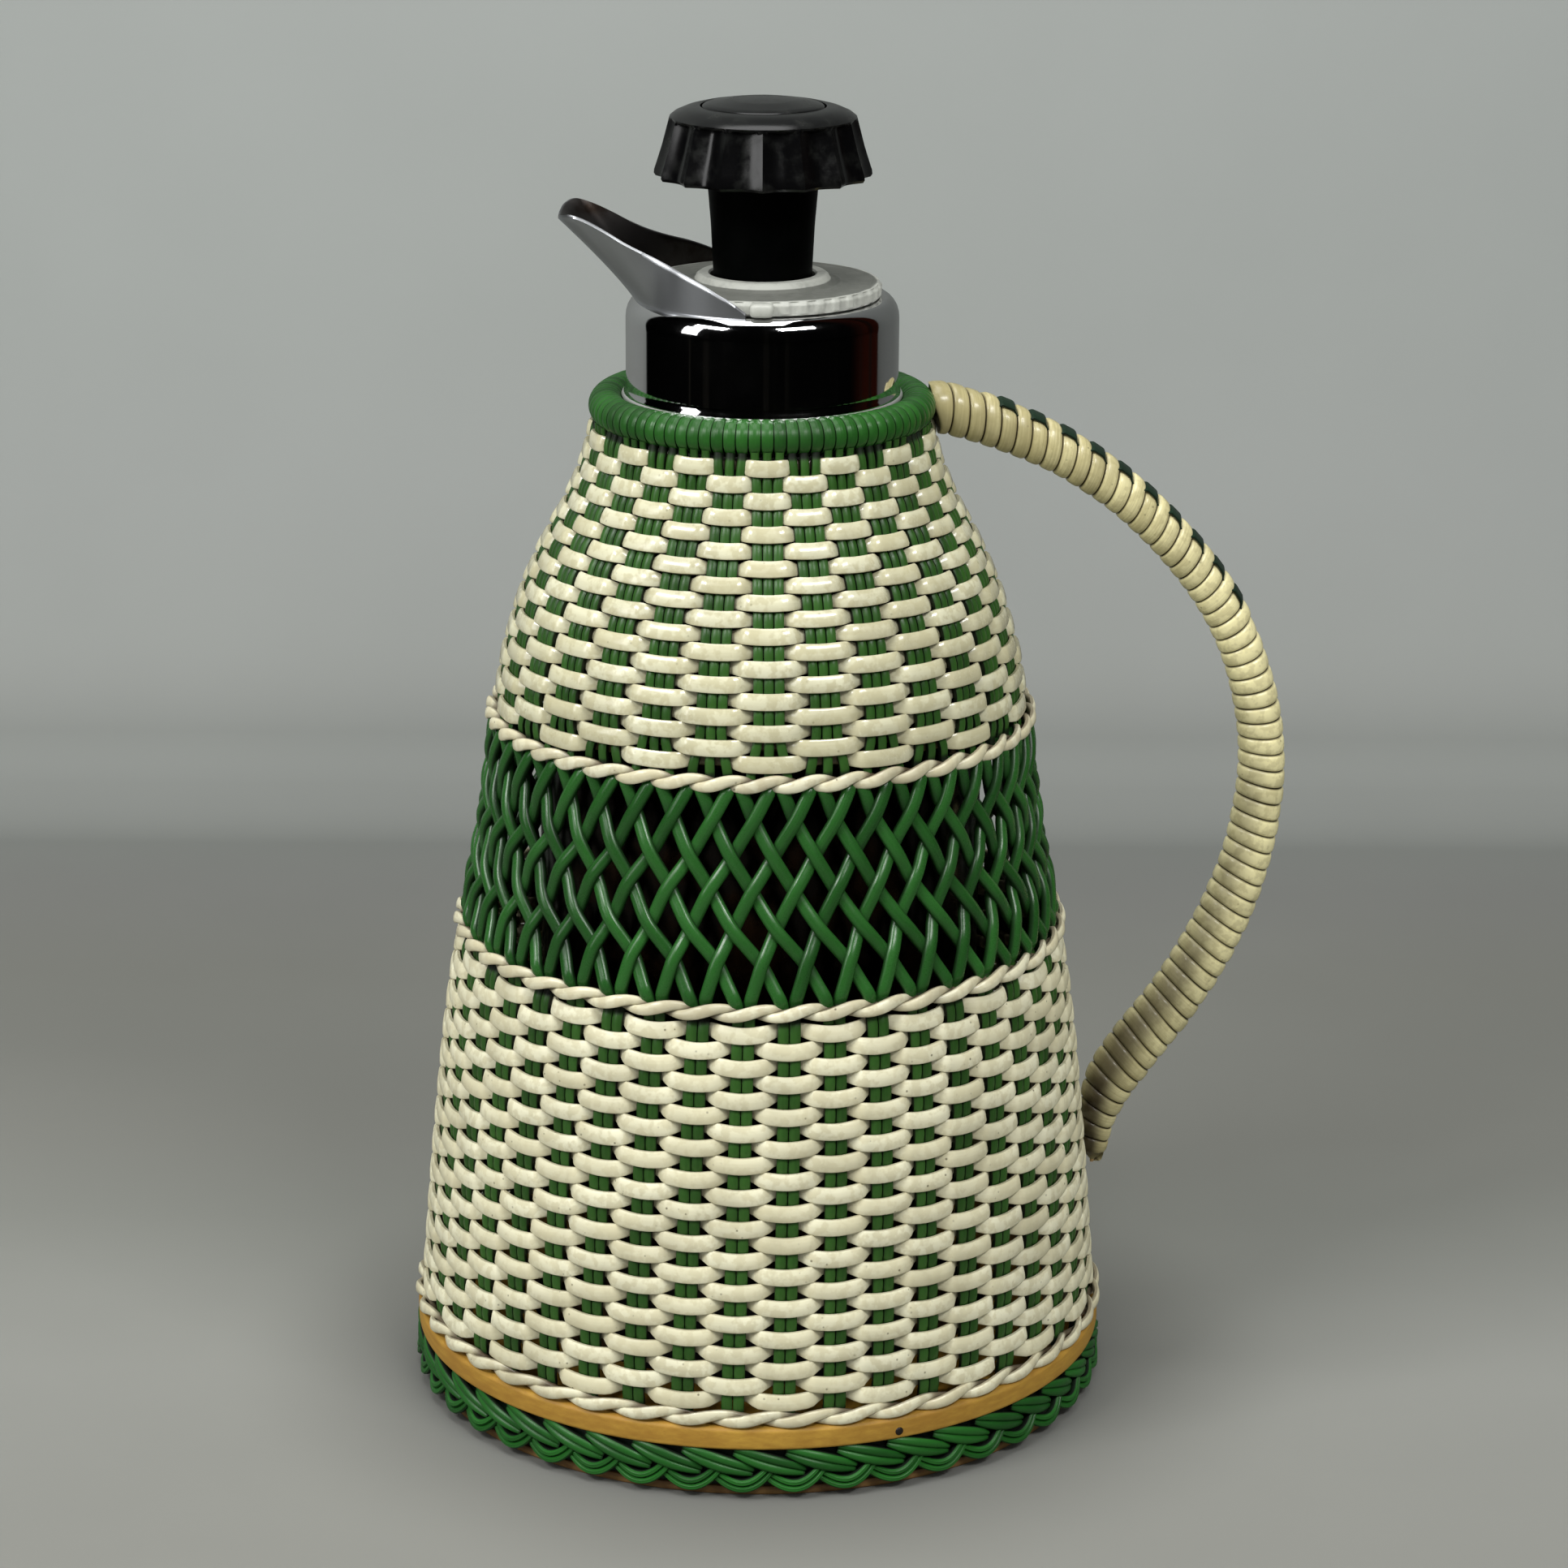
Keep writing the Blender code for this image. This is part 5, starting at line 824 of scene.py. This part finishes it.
# Flat tape wound as a helix: the section across one wrap is carried round and along, and shares
# its edges with the wraps before and after it. A point is centre + radius * (away cos - side sin).
def buildBinding():
    across = np.array([0.0, 0.035, 0.1, 0.24, 0.5, 0.76, 0.9, 0.965])
    crown = 1.0 - np.abs(2.0 * across - 1.0) ** 7
    turns, each, wide = handle["wraps"], handle["around"], len(across)
    steps = turns * each + 1
    t = np.arange(steps) / each
    part = (t[:, None] + across[None, :]) / (turns + 1.0)
    phase = 2.0 * np.pi * t[:, None] + 0 * part
    # the lean fades out at both ends
    fade = np.clip(np.minimum(part, 1.0 - part) * 25.0, 0, 1)
    part = np.clip(part + wrapLean(part, phase) * fade / handleLength, 0, 1)
    centre, away, side, radius = handleFrame(part)
    random = np.random.default_rng(51)

    def eachWrap(spread):
        return np.interp(t, np.arange(turns + 1), random.uniform(-spread, spread, turns + 1))

    lift = eachWrap(handle["uneven"])[:, None]
    full = radius + lift * 0.7 + 0.1 * np.sin(3.0 * phase + 2.0 * lift)
    bulge = overLeader(t[:, None], phase)
    full = full + np.where(bulge > 0, 0.5, 0.25) * bulge * crown[None, :]
    size = full - handle["seam"] * (1.0 - crown[None, :]) - 0.12 * np.abs(2 * across[None] - 1) ** 2
    points = centre + size[..., None] * (away * np.cos(phase)[..., None] - side * np.sin(phase)[..., None])
    i, j = np.meshgrid(np.arange(steps - 1), np.arange(wide), indexing="ij")
    keep = (j < wide - 1) | (i + each + 1 < steps)
    ahead = np.where(j < wide - 1, i * wide + j + 1, (i + each) * wide)
    faces = np.stack([i * wide + j, ahead, ahead + wide, (i + 1) * wide + j], -1)[keep]
    advance = 1.3
    start = (i * advance)[keep]
    uv = cornerUv(start, start + advance, across[j[keep]], np.append(across[1:], 1.0)[j[keep]])
    # painted light and shade along the handle, with a small random change from wrap to wrap
    tones = np.interp(t / (turns + 1.0), handle["toneParts"], handle["tones"]) + eachWrap(0.22)
    tones = np.repeat(np.clip(tones, 0.0, 1.2), wide)
    # the dark line down the lower half: dirt and painted shade
    soil = (np.interp(part, handle["soilParts"], handle["soils"])
            * np.exp(-(turnFrom(phase, handle["soilTurn"]) / handle["soilWide"]) ** 2))
    # painted shade in the seams between the wraps, together with the dark line
    dive = np.maximum((1.0 - crown[None]) ** 0.45, 0.5 + 0.45 * soil).ravel()
    # both ends close on the core: the first and last ring of the helix meet one point each
    firstCentre, lastCentre = steps * wide, steps * wide + 1
    firstRing = [k * wide for k in range(each + 1)]
    lastRing = [(steps - 1 - each + k) * wide + wide - 1 for k in range(each + 1)]
    caps = [[firstCentre, a, b] for a, b in zip(firstRing, firstRing[1:])]
    caps.append([firstCentre, firstRing[-1], *range(wide - 1, -1, -1)])
    caps += [[lastCentre, b, a] for a, b in zip(lastRing, lastRing[1:])]
    uv = np.concatenate([uv.reshape(-1, 2), np.zeros((sum(len(cap) for cap in caps), 2))])
    points = np.concatenate([points.reshape(-1, 3), centre[0, :1], centre[-1, -1:]])
    addPiece("tapeBinding", "handle_binding", "cream_tape", "creamTape", (points, faces.tolist() + caps, uv),
             sharp=75.0, tone=np.append(tones, [0.5, 0.5]), dive=np.append(dive, [0.6, 0.6]))


# Green strip along the outer side, over every second wrap and tucked under the ones between
def buildLeader():
    first, last = handle["leaderFrom"] - 0.9, handle["leaderTo"] + 0.9
    wrap = np.linspace(first, last, int((last - first) * handle["leaderSteps"]) + 1)
    turned = math.radians(handle["leaderTurn"])
    part = (wrap + 0.5 + handle["leaderTurn"] / 360.0) / (handle["wraps"] + 1.0)
    centre, away, side, radius = handleFrame(part + wrapLean(part, turned) / handleLength)
    wave = np.cos(np.pi * (wrap - handle["leaderFrom"]))
    raised = 0.5 * np.clip(wave * 2.4, -1.0, 1.0) - 0.42
    out = away * math.cos(turned) - side * math.sin(turned)
    path = centre + out * (radius + raised)[:, None]
    addPiece("leaderStrip", "handle_leader", "green_cord", "greenStrip",
             sweep(path[None], out[None], handle["leaderWide"] / 2.0, handle["leaderThick"] / 2.0,
                   sides=10, square=0.6),
             tone=0.5, dive=(1.0 - wave) / 2.5)


buildBinding()
buildLeader()
print("handle wound")


# Flask: its outer wall, as radius and height from the tip up to the neck and back down inside
flask = {
    "outline": [(0.0, 20.5), (2.4, 21.6), (3.6, 26.0), (23.4, 28.4), (38.5, 34.0), (48.4, 44.5), (52.0, 58.0),
                (52.0, 150.0), (50.2, 166.0), (45.2, 182.0), (39.0, 197.0), (32.2, 210.0), (26.4, 218.0),
                (24.5, 226.0), (24.5, 239.6), (23.0, 239.6), (23.0, 226.0), (24.9, 217.0), (30.9, 209.0),
                (37.7, 196.0), (43.8, 181.0), (48.7, 165.5), (50.5, 149.5), (50.5, 58.2), (47.0, 45.4),
                (37.8, 35.4), (23.0, 30.0), (0.0, 28.5)],
    "rounding": 7.0,
}
addPiece("flaskOuter", "flask_outer", "silvered_glass", "silveredGlass",
         lathe(roundCorners(flask["outline"], flask["rounding"], 5), closed=False), sharp=60.0)


# Collar and spout
collar = {
    "foot": 240.7, "top": 263.4, "radius": 31.45, "bore": 25.6, "wall": 1.15, "rim": 1.4,
    "skirtOuter": 29.3, "skirtInner": 28.3, "skirtLow": 232.5,
    "shoulder": [(31.45, 258.6), (31.33, 259.9), (30.98, 261.1), (30.4, 262.1), (29.7, 262.9), (28.95, 263.4)],
    "spoutRadius": 28.4, "spoutLow": 262.1, "lean": 1.15, "sheet": 1.0,
    # top edge from the lip's middle to beside the stopper's lug: x, half width, height
    "edge": [(-46.3, 0.0, 281.7), (-46.2, 4.0, 281.9), (-45.4, 8.6, 282.7), (-43.2, 11.5, 283.3),
             (-39.6, 12.6, 282.2), (-35.2, 13.8, 280.0), (-31.0, 14.8, 277.6), (-27.3, 15.6, 275.8),
             (-24.0, 17.0, 274.4), (-21.0, 19.2, 273.2), (-18.0, 22.0, 272.0), (-15.2, 24.0, 270.8),
             (-12.0, 25.8, 269.3), (-9.6, 26.8, 268.0), (-7.0, 27.6, 266.6), (-3.6, 28.2, 264.2)],
    "beakPoints": 9, "perRow": 8, "profile": 15,
    "neckRing": [(29.6, 222.0), (31.4, 222.0), (31.4, 232.2), (36.3, 232.2), (36.3, 233.5), (31.4, 233.5),
                 (31.4, 239.6), (32.2, 240.0), (32.5, 240.6), (32.2, 241.2), (31.8, 241.3), (31.8, 240.4),
                 (29.6, 240.4)],
}


# Spout: each profile leaves the collar upright and reaches out by the power `lean` of its height.
# A solid wall: the sheet's points moved half a wall along and against its normals, joined by rims.
def spoutWall():
    edge = np.array(collar["edge"], float)
    turns = np.arctan2(edge[:, 1], edge[:, 0])
    beak = np.arange(collar["beakPoints"])
    turns[beak] = math.pi + (turns[beak[-1]] - math.pi) * beak / beak[-1]
    half = np.column_stack([edge, turns])
    mirrored = half[:0:-1] * np.array([1.0, -1.0, 1.0, 1.0])
    mirrored[:, 3] = 2.0 * math.pi - mirrored[:, 3]
    rows = np.concatenate([mirrored, half])
    rows = throughRows(rows, np.linspace(0.0, len(rows) - 1, collar["perRow"] * (len(rows) - 1) + 1))
    part = np.linspace(0.0, 1.0, collar["profile"])[None, :]
    reach = part ** collar["lean"]
    footX, footY = [collar["spoutRadius"] * wave(rows[:, 3:]) for wave in (np.cos, np.sin)]
    sheet = np.stack([footX + (rows[:, :1] - footX) * reach, footY + (rows[:, 1:2] - footY) * reach,
                      collar["spoutLow"] + (rows[:, 2:3] - collar["spoutLow"]) * part], -1)
    upward = np.gradient(sheet, axis=1)
    normals = unit(np.cross(upward, np.gradient(sheet, axis=0)))
    outerSide, innerSide = [sheet + normals * move for move in (collar["sheet"] / 2.0, -collar["sheet"] / 2.0)]
    # the ring of one profile: up the outside, over a rounded edge, down the inside
    over = sheet[:, -1:] + unit(upward[:, -1:]) * collar["sheet"] * 0.42
    rings = np.concatenate([outerSide, over, innerSide[:, ::-1]], axis=1)
    count, wide, _ = rings.shape
    cap = endCap(wide)
    # each face starts at its second corner, so that it splits along the other diagonal
    faces = [np.roll(gridFaces(count, wide), -1, axis=1), cap[:, ::-1], cap + (count - 1) * wide]
    top = collar["profile"]
    inside = np.interp(np.arange(wide), [top - 1, top, top + 1], [0.0, 0.5, 1.0])
    return rings.reshape(-1, 3), np.concatenate(faces), np.tile(inside, count)


def buildCollar():
    low, top, radius, bore, thick = [collar[key] for key in ("foot", "top", "radius", "bore", "rim")]
    inner, skirtInner, skirtOuter = radius - collar["wall"], collar["skirtInner"], collar["skirtOuter"]
    outline = [(skirtInner, collar["skirtLow"]), (skirtOuter, collar["skirtLow"]), (skirtOuter, low),
               (radius, low), (radius + 0.55, low + 0.35), (radius + 0.5, low + 0.9),
               (radius + 0.15, low + 1.5), (radius, low + 2.2), *collar["shoulder"],
               (bore + 0.3, top), (bore, top - 0.3), (bore, top - thick), (inner - 1.9, top - thick - 0.8),
               (inner, top - thick - 3.0), (inner, low + thick), (skirtInner, low + thick)]
    addPiece("collarBody", "collar", "chrome", "chrome", lathe(firmEdges(outline), 192), sharp=55.0)
    points, faces, inside = spoutWall()
    addPiece("spoutWall", "collar", "chrome", "spoutChrome", (points, faces), sharp=55.0, soil=0.9 * inside)
    addPiece("neckRing", "neck_ring", "dull_metal", "dullMetal", lathe(firmEdges(collar["neckRing"])), sharp=55.0)


buildCollar()
print("collar and spout built")


# Stopper
stopper = {
    "outline": [(5.4, 254.8), (8.6, 254.8), (8.6, 259.4), (23.6, 262.2), (23.6, 259.4), (25.0, 259.4),
                (25.0, 263.7), (26.9, 263.7), (27.36, 264.2), (27.36, 266.0), (26.7, 266.85), (25.6, 267.0),
                (25.2, 266.75), (18.4, 266.75), (18.1, 266.95), (17.6, 266.95), (17.3, 266.75), (16.6, 266.8),
                (15.5, 267.6), (15.2, 268.3), (14.5, 268.8), (12.5, 268.8), (12.1, 268.4),
                (12.1, 262.1), (5.4, 262.1)],
    # blocks are cut into the rim outside blockFrom and above blockLow
    "blocks": 40, "blockDeep": 0.35, "blockFrom": 26.8, "blockLow": 264.0,
    # the darker part of the top: above a height, between two radii
    "soilAbove": 266.5, "soilFrom": 15.6, "soilTo": 26.3, "soil": 0.95,
    "lugCentre": (0.0, -27.9, 265.3), "lugHalf": (2.7, 2.3, 1.55), "lugSquare": 0.45,
}


# A disc with blocks round its rim, and the lug as a superellipse in plan and in section
def buildStopper():
    def push(turn, rows):
        wave = np.clip(np.sin(np.radians(turn * stopper["blocks"])) * 3.0, -1.0, 1.0)
        onRim = (rows[:, 0] > stopper["blockFrom"]) & (rows[:, 1] > stopper["blockLow"])
        return stopper["blockDeep"] / 2.0 * (wave - 1.0) * onRim[:, None]

    points, faces = lathe(firmEdges(stopper["outline"], 0.3), 480, push=push)
    reach = np.hypot(points[:, 0], points[:, 1])
    onTop = (points[:, 2] > stopper["soilAbove"]) & (reach > stopper["soilFrom"]) & (reach < stopper["soilTo"])
    addPiece("stopperDisc", "stopper_disc", "white_plastic", "whitePlastic", (points, faces), body="stopper",
             sharp=40.0, soil=stopper["soil"] * onTop)
    u = np.linspace(0.0, 2.0 * np.pi, 33)[None, :-1]
    v = np.linspace(-0.5 * np.pi, 0.5 * np.pi, 11)[:, None]
    plan, section = [[signedPower(wave(angle), stopper["lugSquare"]) for wave in (np.cos, np.sin)]
                     for angle in (u, v)]
    shape = [section[0] * plan[0], section[0] * plan[1], section[1] + 0 * u]
    points = np.stack([middle + half * part
                       for middle, half, part in zip(stopper["lugCentre"], stopper["lugHalf"], shape)], -1)
    addPiece("stopperLug", "stopper_disc", "white_plastic", "whitePlastic",
             (points.reshape(-1, 3), gridFaces(v.size, u.size)), body="stopper", sharp=60.0, soil=0.0)


buildStopper()


# Knob
knob = {
    "cap": [(0.0, 303.5), (13.6, 303.5), (19.2, 302.3), (22.2, 290.9), (24.5, 290.9), (24.9, 291.5),
            (24.8, 292.4), (24.1, 294.5), (23.0, 298.0), (21.9, 302.2), (21.62, 303.3), (21.52, 303.7),
            (21.42, 304.1), (21.3, 304.5), (20.3, 305.3), (18.0, 306.3), (15.0, 307.05), (14.4, 306.9),
            (14.4, 305.3), (0.0, 305.3)],
    "insert": [(0.0, 305.6), (14.1, 305.6), (14.1, 306.6), (13.7, 307.1), (12.5, 307.5), (7.0, 308.35),
               (0.0, 308.7)],
    "stem": [(0.0, 284.8), (5.3, 284.8), (5.3, 262.5), (10.6, 262.5), (11.1, 263.0), (11.4, 270.0),
             (11.9, 280.0), (12.75, 290.0), (12.75, 303.2), (0.0, 303.2)],
    "flutes": 16, "depth": 1.75, "fluteTop": 304.35, "fluteEase": 0.8, "fluteFrom": 20.0,
    # the skirt's lower inner edge isn't fluted: inside this radius and below this height
    "plainInside": 22.5, "plainBelow": 291.0,
}


# Sixteen round hollows between sharp ridges, cut square at the top under the domed edge
def buildKnob():
    def push(turn, rows):
        hollow = np.abs(np.sin(np.radians(turn * knob["flutes"] / 2.0)))
        rise = smooth((knob["fluteTop"] - rows[:, 1]) / knob["fluteEase"]) * (rows[:, 0] > knob["fluteFrom"])
        rise = np.where((rows[:, 0] < knob["plainInside"]) & (rows[:, 1] < knob["plainBelow"]), 0.0, rise)
        return -knob["depth"] * hollow * rise[:, None]

    addPiece("knobCap", "knob_cap", "black_plastic", "blackPlastic",
             lathe(knob["cap"], 320, closed=False, push=push), body="knob", sharp=32.0)
    addPiece("knobInsert", "knob_insert", "black_plastic", "blackPlastic",
             lathe(roundCorners(knob["insert"], 0.8), 96, closed=False), body="knob")
    addPiece("knobStem", "knob_stem", "black_plastic", "stemPlastic",
             lathe(roundCorners(knob["stem"], 1.2), 96, closed=False), body="knob")


buildKnob()
print("stopper and knob built")

# Solids that stay, with the material of each
keptSolids = {
    "caneCore": ["handle_core"], "steel": ["plate_screw_1", "plate_screw_2", "plate_screw_3", "plug_screw", "spindle"],
    "silveredGlass": ["flask_inner"], "spacerPad": ["flask_pad_1", "flask_pad_2", "flask_pad_3"],
    "darkRubber": ["flask_seat", "neck_gasket"], "whitePlastic": ["plug"], "sealRubber": ["plug_seal"],
}
for material, names in keptSolids.items():
    for name in names:
        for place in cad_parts[name].material_slots:
            place.material = paints[material]

# Room, lamps and camera, in metres
room = {
    "wall": 0.436, "fold": 0.03, "low": -2.6, "high": 2.6, "half": 3.0,
    # colour along the sheet, from in front of the jug, over the fold and up the wall: painted light and shade
    "stops": [
        (-0.3, (0.217, 0.218, 0.201)), (-0.111, (0.239, 0.24, 0.22)), (-0.062, (0.246, 0.248, 0.229)),
        (-0.015, (0.259, 0.261, 0.242)), (0.032, (0.243, 0.246, 0.227)), (0.088, (0.212, 0.216, 0.197)),
        (0.144, (0.201, 0.202, 0.184)), (0.211, (0.187, 0.189, 0.172)), (0.278, (0.182, 0.184, 0.167)),
        (0.361, (0.181, 0.184, 0.173)), (0.411, (0.184, 0.192, 0.18)), (0.442, (0.222, 0.231, 0.218)),
        (0.456, (0.272, 0.283, 0.268)), (0.468, (0.322, 0.334, 0.318)), (0.482, (0.364, 0.375, 0.359)),
        (0.496, (0.384, 0.398, 0.381)), (0.552, (0.392, 0.408, 0.394)), (0.62, (0.389, 0.409, 0.393)),
        (1.2, (0.384, 0.403, 0.392)),
    ],
    "rampLow": -0.4, "rampLong": 1.8, "mirrorBlack": (0.0006, 0.0006, 0.0006, 1.0),
    "mirrorBrown": (0.03, 0.006, 0.003, 1.0), "mirrorBars": (0.006, 0.0055, 0.0045, 1.0),
    "lit": (0.62, 0.63, 0.62, 1.0), "behind": (0.17, 0.175, 0.175, 1.0), "strength": 0.62,
}


# The dark half of the room, towards the camera, as mirrors see it: a mask and a colour with a few
# upright streaks, by the turn round the jug
def makeDarkFront():
    tree, given, result = newGroup("darkFront", {"Place": None}, ("Mask", "Colour"))
    aim = put(tree, "VectorMath", {0: given["Place"]}, operation="NORMALIZE").outputs[0]
    parts = put(tree, "SeparateXYZ", {0: aim}).outputs
    sideways = times(tree, calc(tree, "ABSOLUTE", parts["X"]), 0.42)
    turn = calc(tree, "ARCTAN2", parts["X"], times(tree, parts["Y"], -1.0))
    bars = put(tree, "TexNoise", {"W": turn, "Scale": 4.3, "Detail": 3.0, "Roughness": 0.6},
               noise_dimensions="1D").outputs["Fac"]
    brown = times(tree, remap(tree, turn, 1.35, 1.75), 0.6)
    colour = mix(tree, brown, room["mirrorBlack"], room["mirrorBrown"])
    bars = times(tree, remap(tree, bars, 0.56, 0.7), 0.8)
    return give(tree, result, Mask=remap(tree, calc(tree, "SUBTRACT", sideways, parts["Y"]), -0.02, 0.02),
                Colour=mix(tree, bars, colour, room["mirrorBars"]))


darkFront = makeDarkFront()


# Pale paint, with painted light and shade along the sheet. Mirrors see a painted reflection of it: dimmer,
# darker to the right, and dark in front of the jug.
def makeRoomPaint():
    tree, principled = newMaterial("roomPaint")
    principled["Roughness"].default_value = 0.9
    principled["Specular IOR Level"].default_value = 0.0
    place = objectPlace(tree)
    parts = put(tree, "SeparateXYZ", {0: place}).outputs
    low, long = room["rampLow"], room["rampLong"]
    distance = remap(tree, calc(tree, "ADD", parts["Y"], parts["Z"]), low, low + long, ease="LINEAR")
    ramp = put(tree, "ValToRGB", {0: distance})
    elements = ramp.color_ramp.elements
    while len(elements) < len(room["stops"]):
        elements.new(0.5)
    for element, (position, colour) in zip(elements, room["stops"]):
        element.position = (position - low) / long
        element.color = (*colour, 1.0)
    ramp = ramp.outputs["Color"]
    close = put(tree, "VectorMath", {0: place}, operation="LENGTH").outputs["Value"]
    # painted contact shadow: the floor darkens close round the jug's foot
    contact = remap(tree, close, 0.078, 0.135, 0.74, 1.0)
    clouds = remap(tree, noise(tree, place, 5.0, 4.0), 0.3, 0.7, 0.975, 1.025)
    paint = mix(tree, 1.0, ramp, times(tree, contact, clouds), "MULTIPLY")
    light = put(tree, "LightPath").outputs
    dark = putGroup(tree, darkFront, {"Place": place})
    dim = remap(tree, parts["X"], -0.4, 0.4, 0.58, 0.32)
    front = times(tree, dark["Mask"], remap(tree, close, 0.75, 0.95))
    mirrored = mix(tree, front, mix(tree, 1.0, ramp, dim, "MULTIPLY"), dark["Colour"])
    colour = mix(tree, light["Is Glossy Ray"], paint, mirrored)
    tree.links.new(colour, principled["Base Color"])
    # a camera behind the sheet looks through it
    behind = put(tree, "NewGeometry").outputs["Backfacing"]
    unseen = times(tree, behind, light["Is Camera Ray"])
    clear = put(tree, "BsdfTransparent").outputs[0]
    seen = put(tree, "MixShader", {0: unseen, 1: tree.nodes["Principled BSDF"].outputs[0], 2: clear}).outputs[0]
    tree.links.new(seen, tree.nodes["Material Output"].inputs["Surface"])


# Floor and wall as one sheet: its line runs back along the floor, round the fold and up
def buildRoom():
    makeRoomPaint()
    wall, fold, half = room["wall"], room["fold"], room["half"]
    straight = np.linspace(room["low"], wall - fold, 24)
    bend = np.linspace(0.0, 0.5 * np.pi, 13)[1:]
    upward = np.linspace(fold, room["high"], 20)[1:]
    y = np.concatenate([straight, wall - fold + fold * np.sin(bend), np.full(len(upward), wall)])
    z = np.concatenate([np.zeros(len(straight)), fold * (1.0 - np.cos(bend)), upward])
    points = np.stack(np.broadcast_arrays([-half, half], y[:, None], z[:, None]), -1)
    i = np.arange(len(y) - 1) * 2
    faces = np.stack([i, i + 1, i + 3, i + 2], -1)
    link("roomSheet", newMesh("roomSheet", points.reshape(-1, 3), faces, "roomPaint"))


# Dim grey room; shiny pieces see it dark towards the camera's side and grey behind
def buildWorld():
    world = bpy.data.worlds.new("roomLight")
    bpy.context.scene.world = world
    world.use_nodes = True
    tree = world.node_tree
    glossy = put(tree, "LightPath").outputs["Is Glossy Ray"]
    dark = putGroup(tree, darkFront, {"Place": put(tree, "TexCoord").outputs["Generated"]})
    seen = mix(tree, glossy, room["lit"], mix(tree, dark["Mask"], room["behind"], dark["Colour"]))
    background = tree.nodes["Background"].inputs
    tree.links.new(seen, background["Color"])
    background["Strength"].default_value = room["strength"]


buildRoom()
buildWorld()

# name, place, target, width and height, power
lamps = [
    ("leftLamp", (-0.96, -0.8, 1.25), (0.0, 0.0, 0.15), (0.72, 0.3), 13.5),
    ("rightLamp", (0.64, -0.95, 1.3), (0.0, 0.0, 0.15), (0.75, 0.3), 11.5),
    ("topLamp", (-0.1, 0.05, 1.6), (0.0, 0.05, 0.0), (1.4, 0.9), 12.0),
    ("windowLamp", (-1.45, -0.75, 0.75), (0.0, 0.0, 0.25), (0.45, 0.8), 4.0),
]
view = {"place": (0.0056, -1.01157, 0.45582), "angle": 19.93, "down": 17.02, "roll": 0.35, "far": 20.0}


# Puts an object in its place with its own X, Y and Z along the three directions
def setPlace(item, right, up, back, place):
    matrix = np.eye(4)
    matrix[:3] = np.stack([right, up, back, place], -1)
    item.matrix_world = Matrix(matrix.tolist())


for name, place, target, size, power in lamps:
    data = bpy.data.lights.new(name, "AREA")
    data.shape = "RECTANGLE"
    data.size, data.size_y = size
    data.energy = power
    back = unit(np.array(place) - np.array(target))
    right = unit(np.cross([0.0, 0.0, 1.0], back))
    setPlace(link(name, data), right, np.cross(back, right), back, place)

camera = bpy.data.cameras.new("camera")
camera.angle = math.radians(view["angle"])
camera.sensor_fit = "HORIZONTAL"
camera.clip_end = view["far"]
cameraObject = link("camera", camera)
tilt, roll = math.radians(90.0 - view["down"]), math.radians(view["roll"])
right = np.array([1.0, 0.0, 0.0])
up = np.array([0.0, math.cos(tilt), math.sin(tilt)])
setPlace(cameraObject, right * math.cos(roll) + up * math.sin(roll), up * math.cos(roll) - right * math.sin(roll),
         [0.0, -math.sin(tilt), math.cos(tilt)], view["place"])
bpy.context.scene.camera = cameraObject

bpy.context.scene.view_settings.view_transform = "Standard"
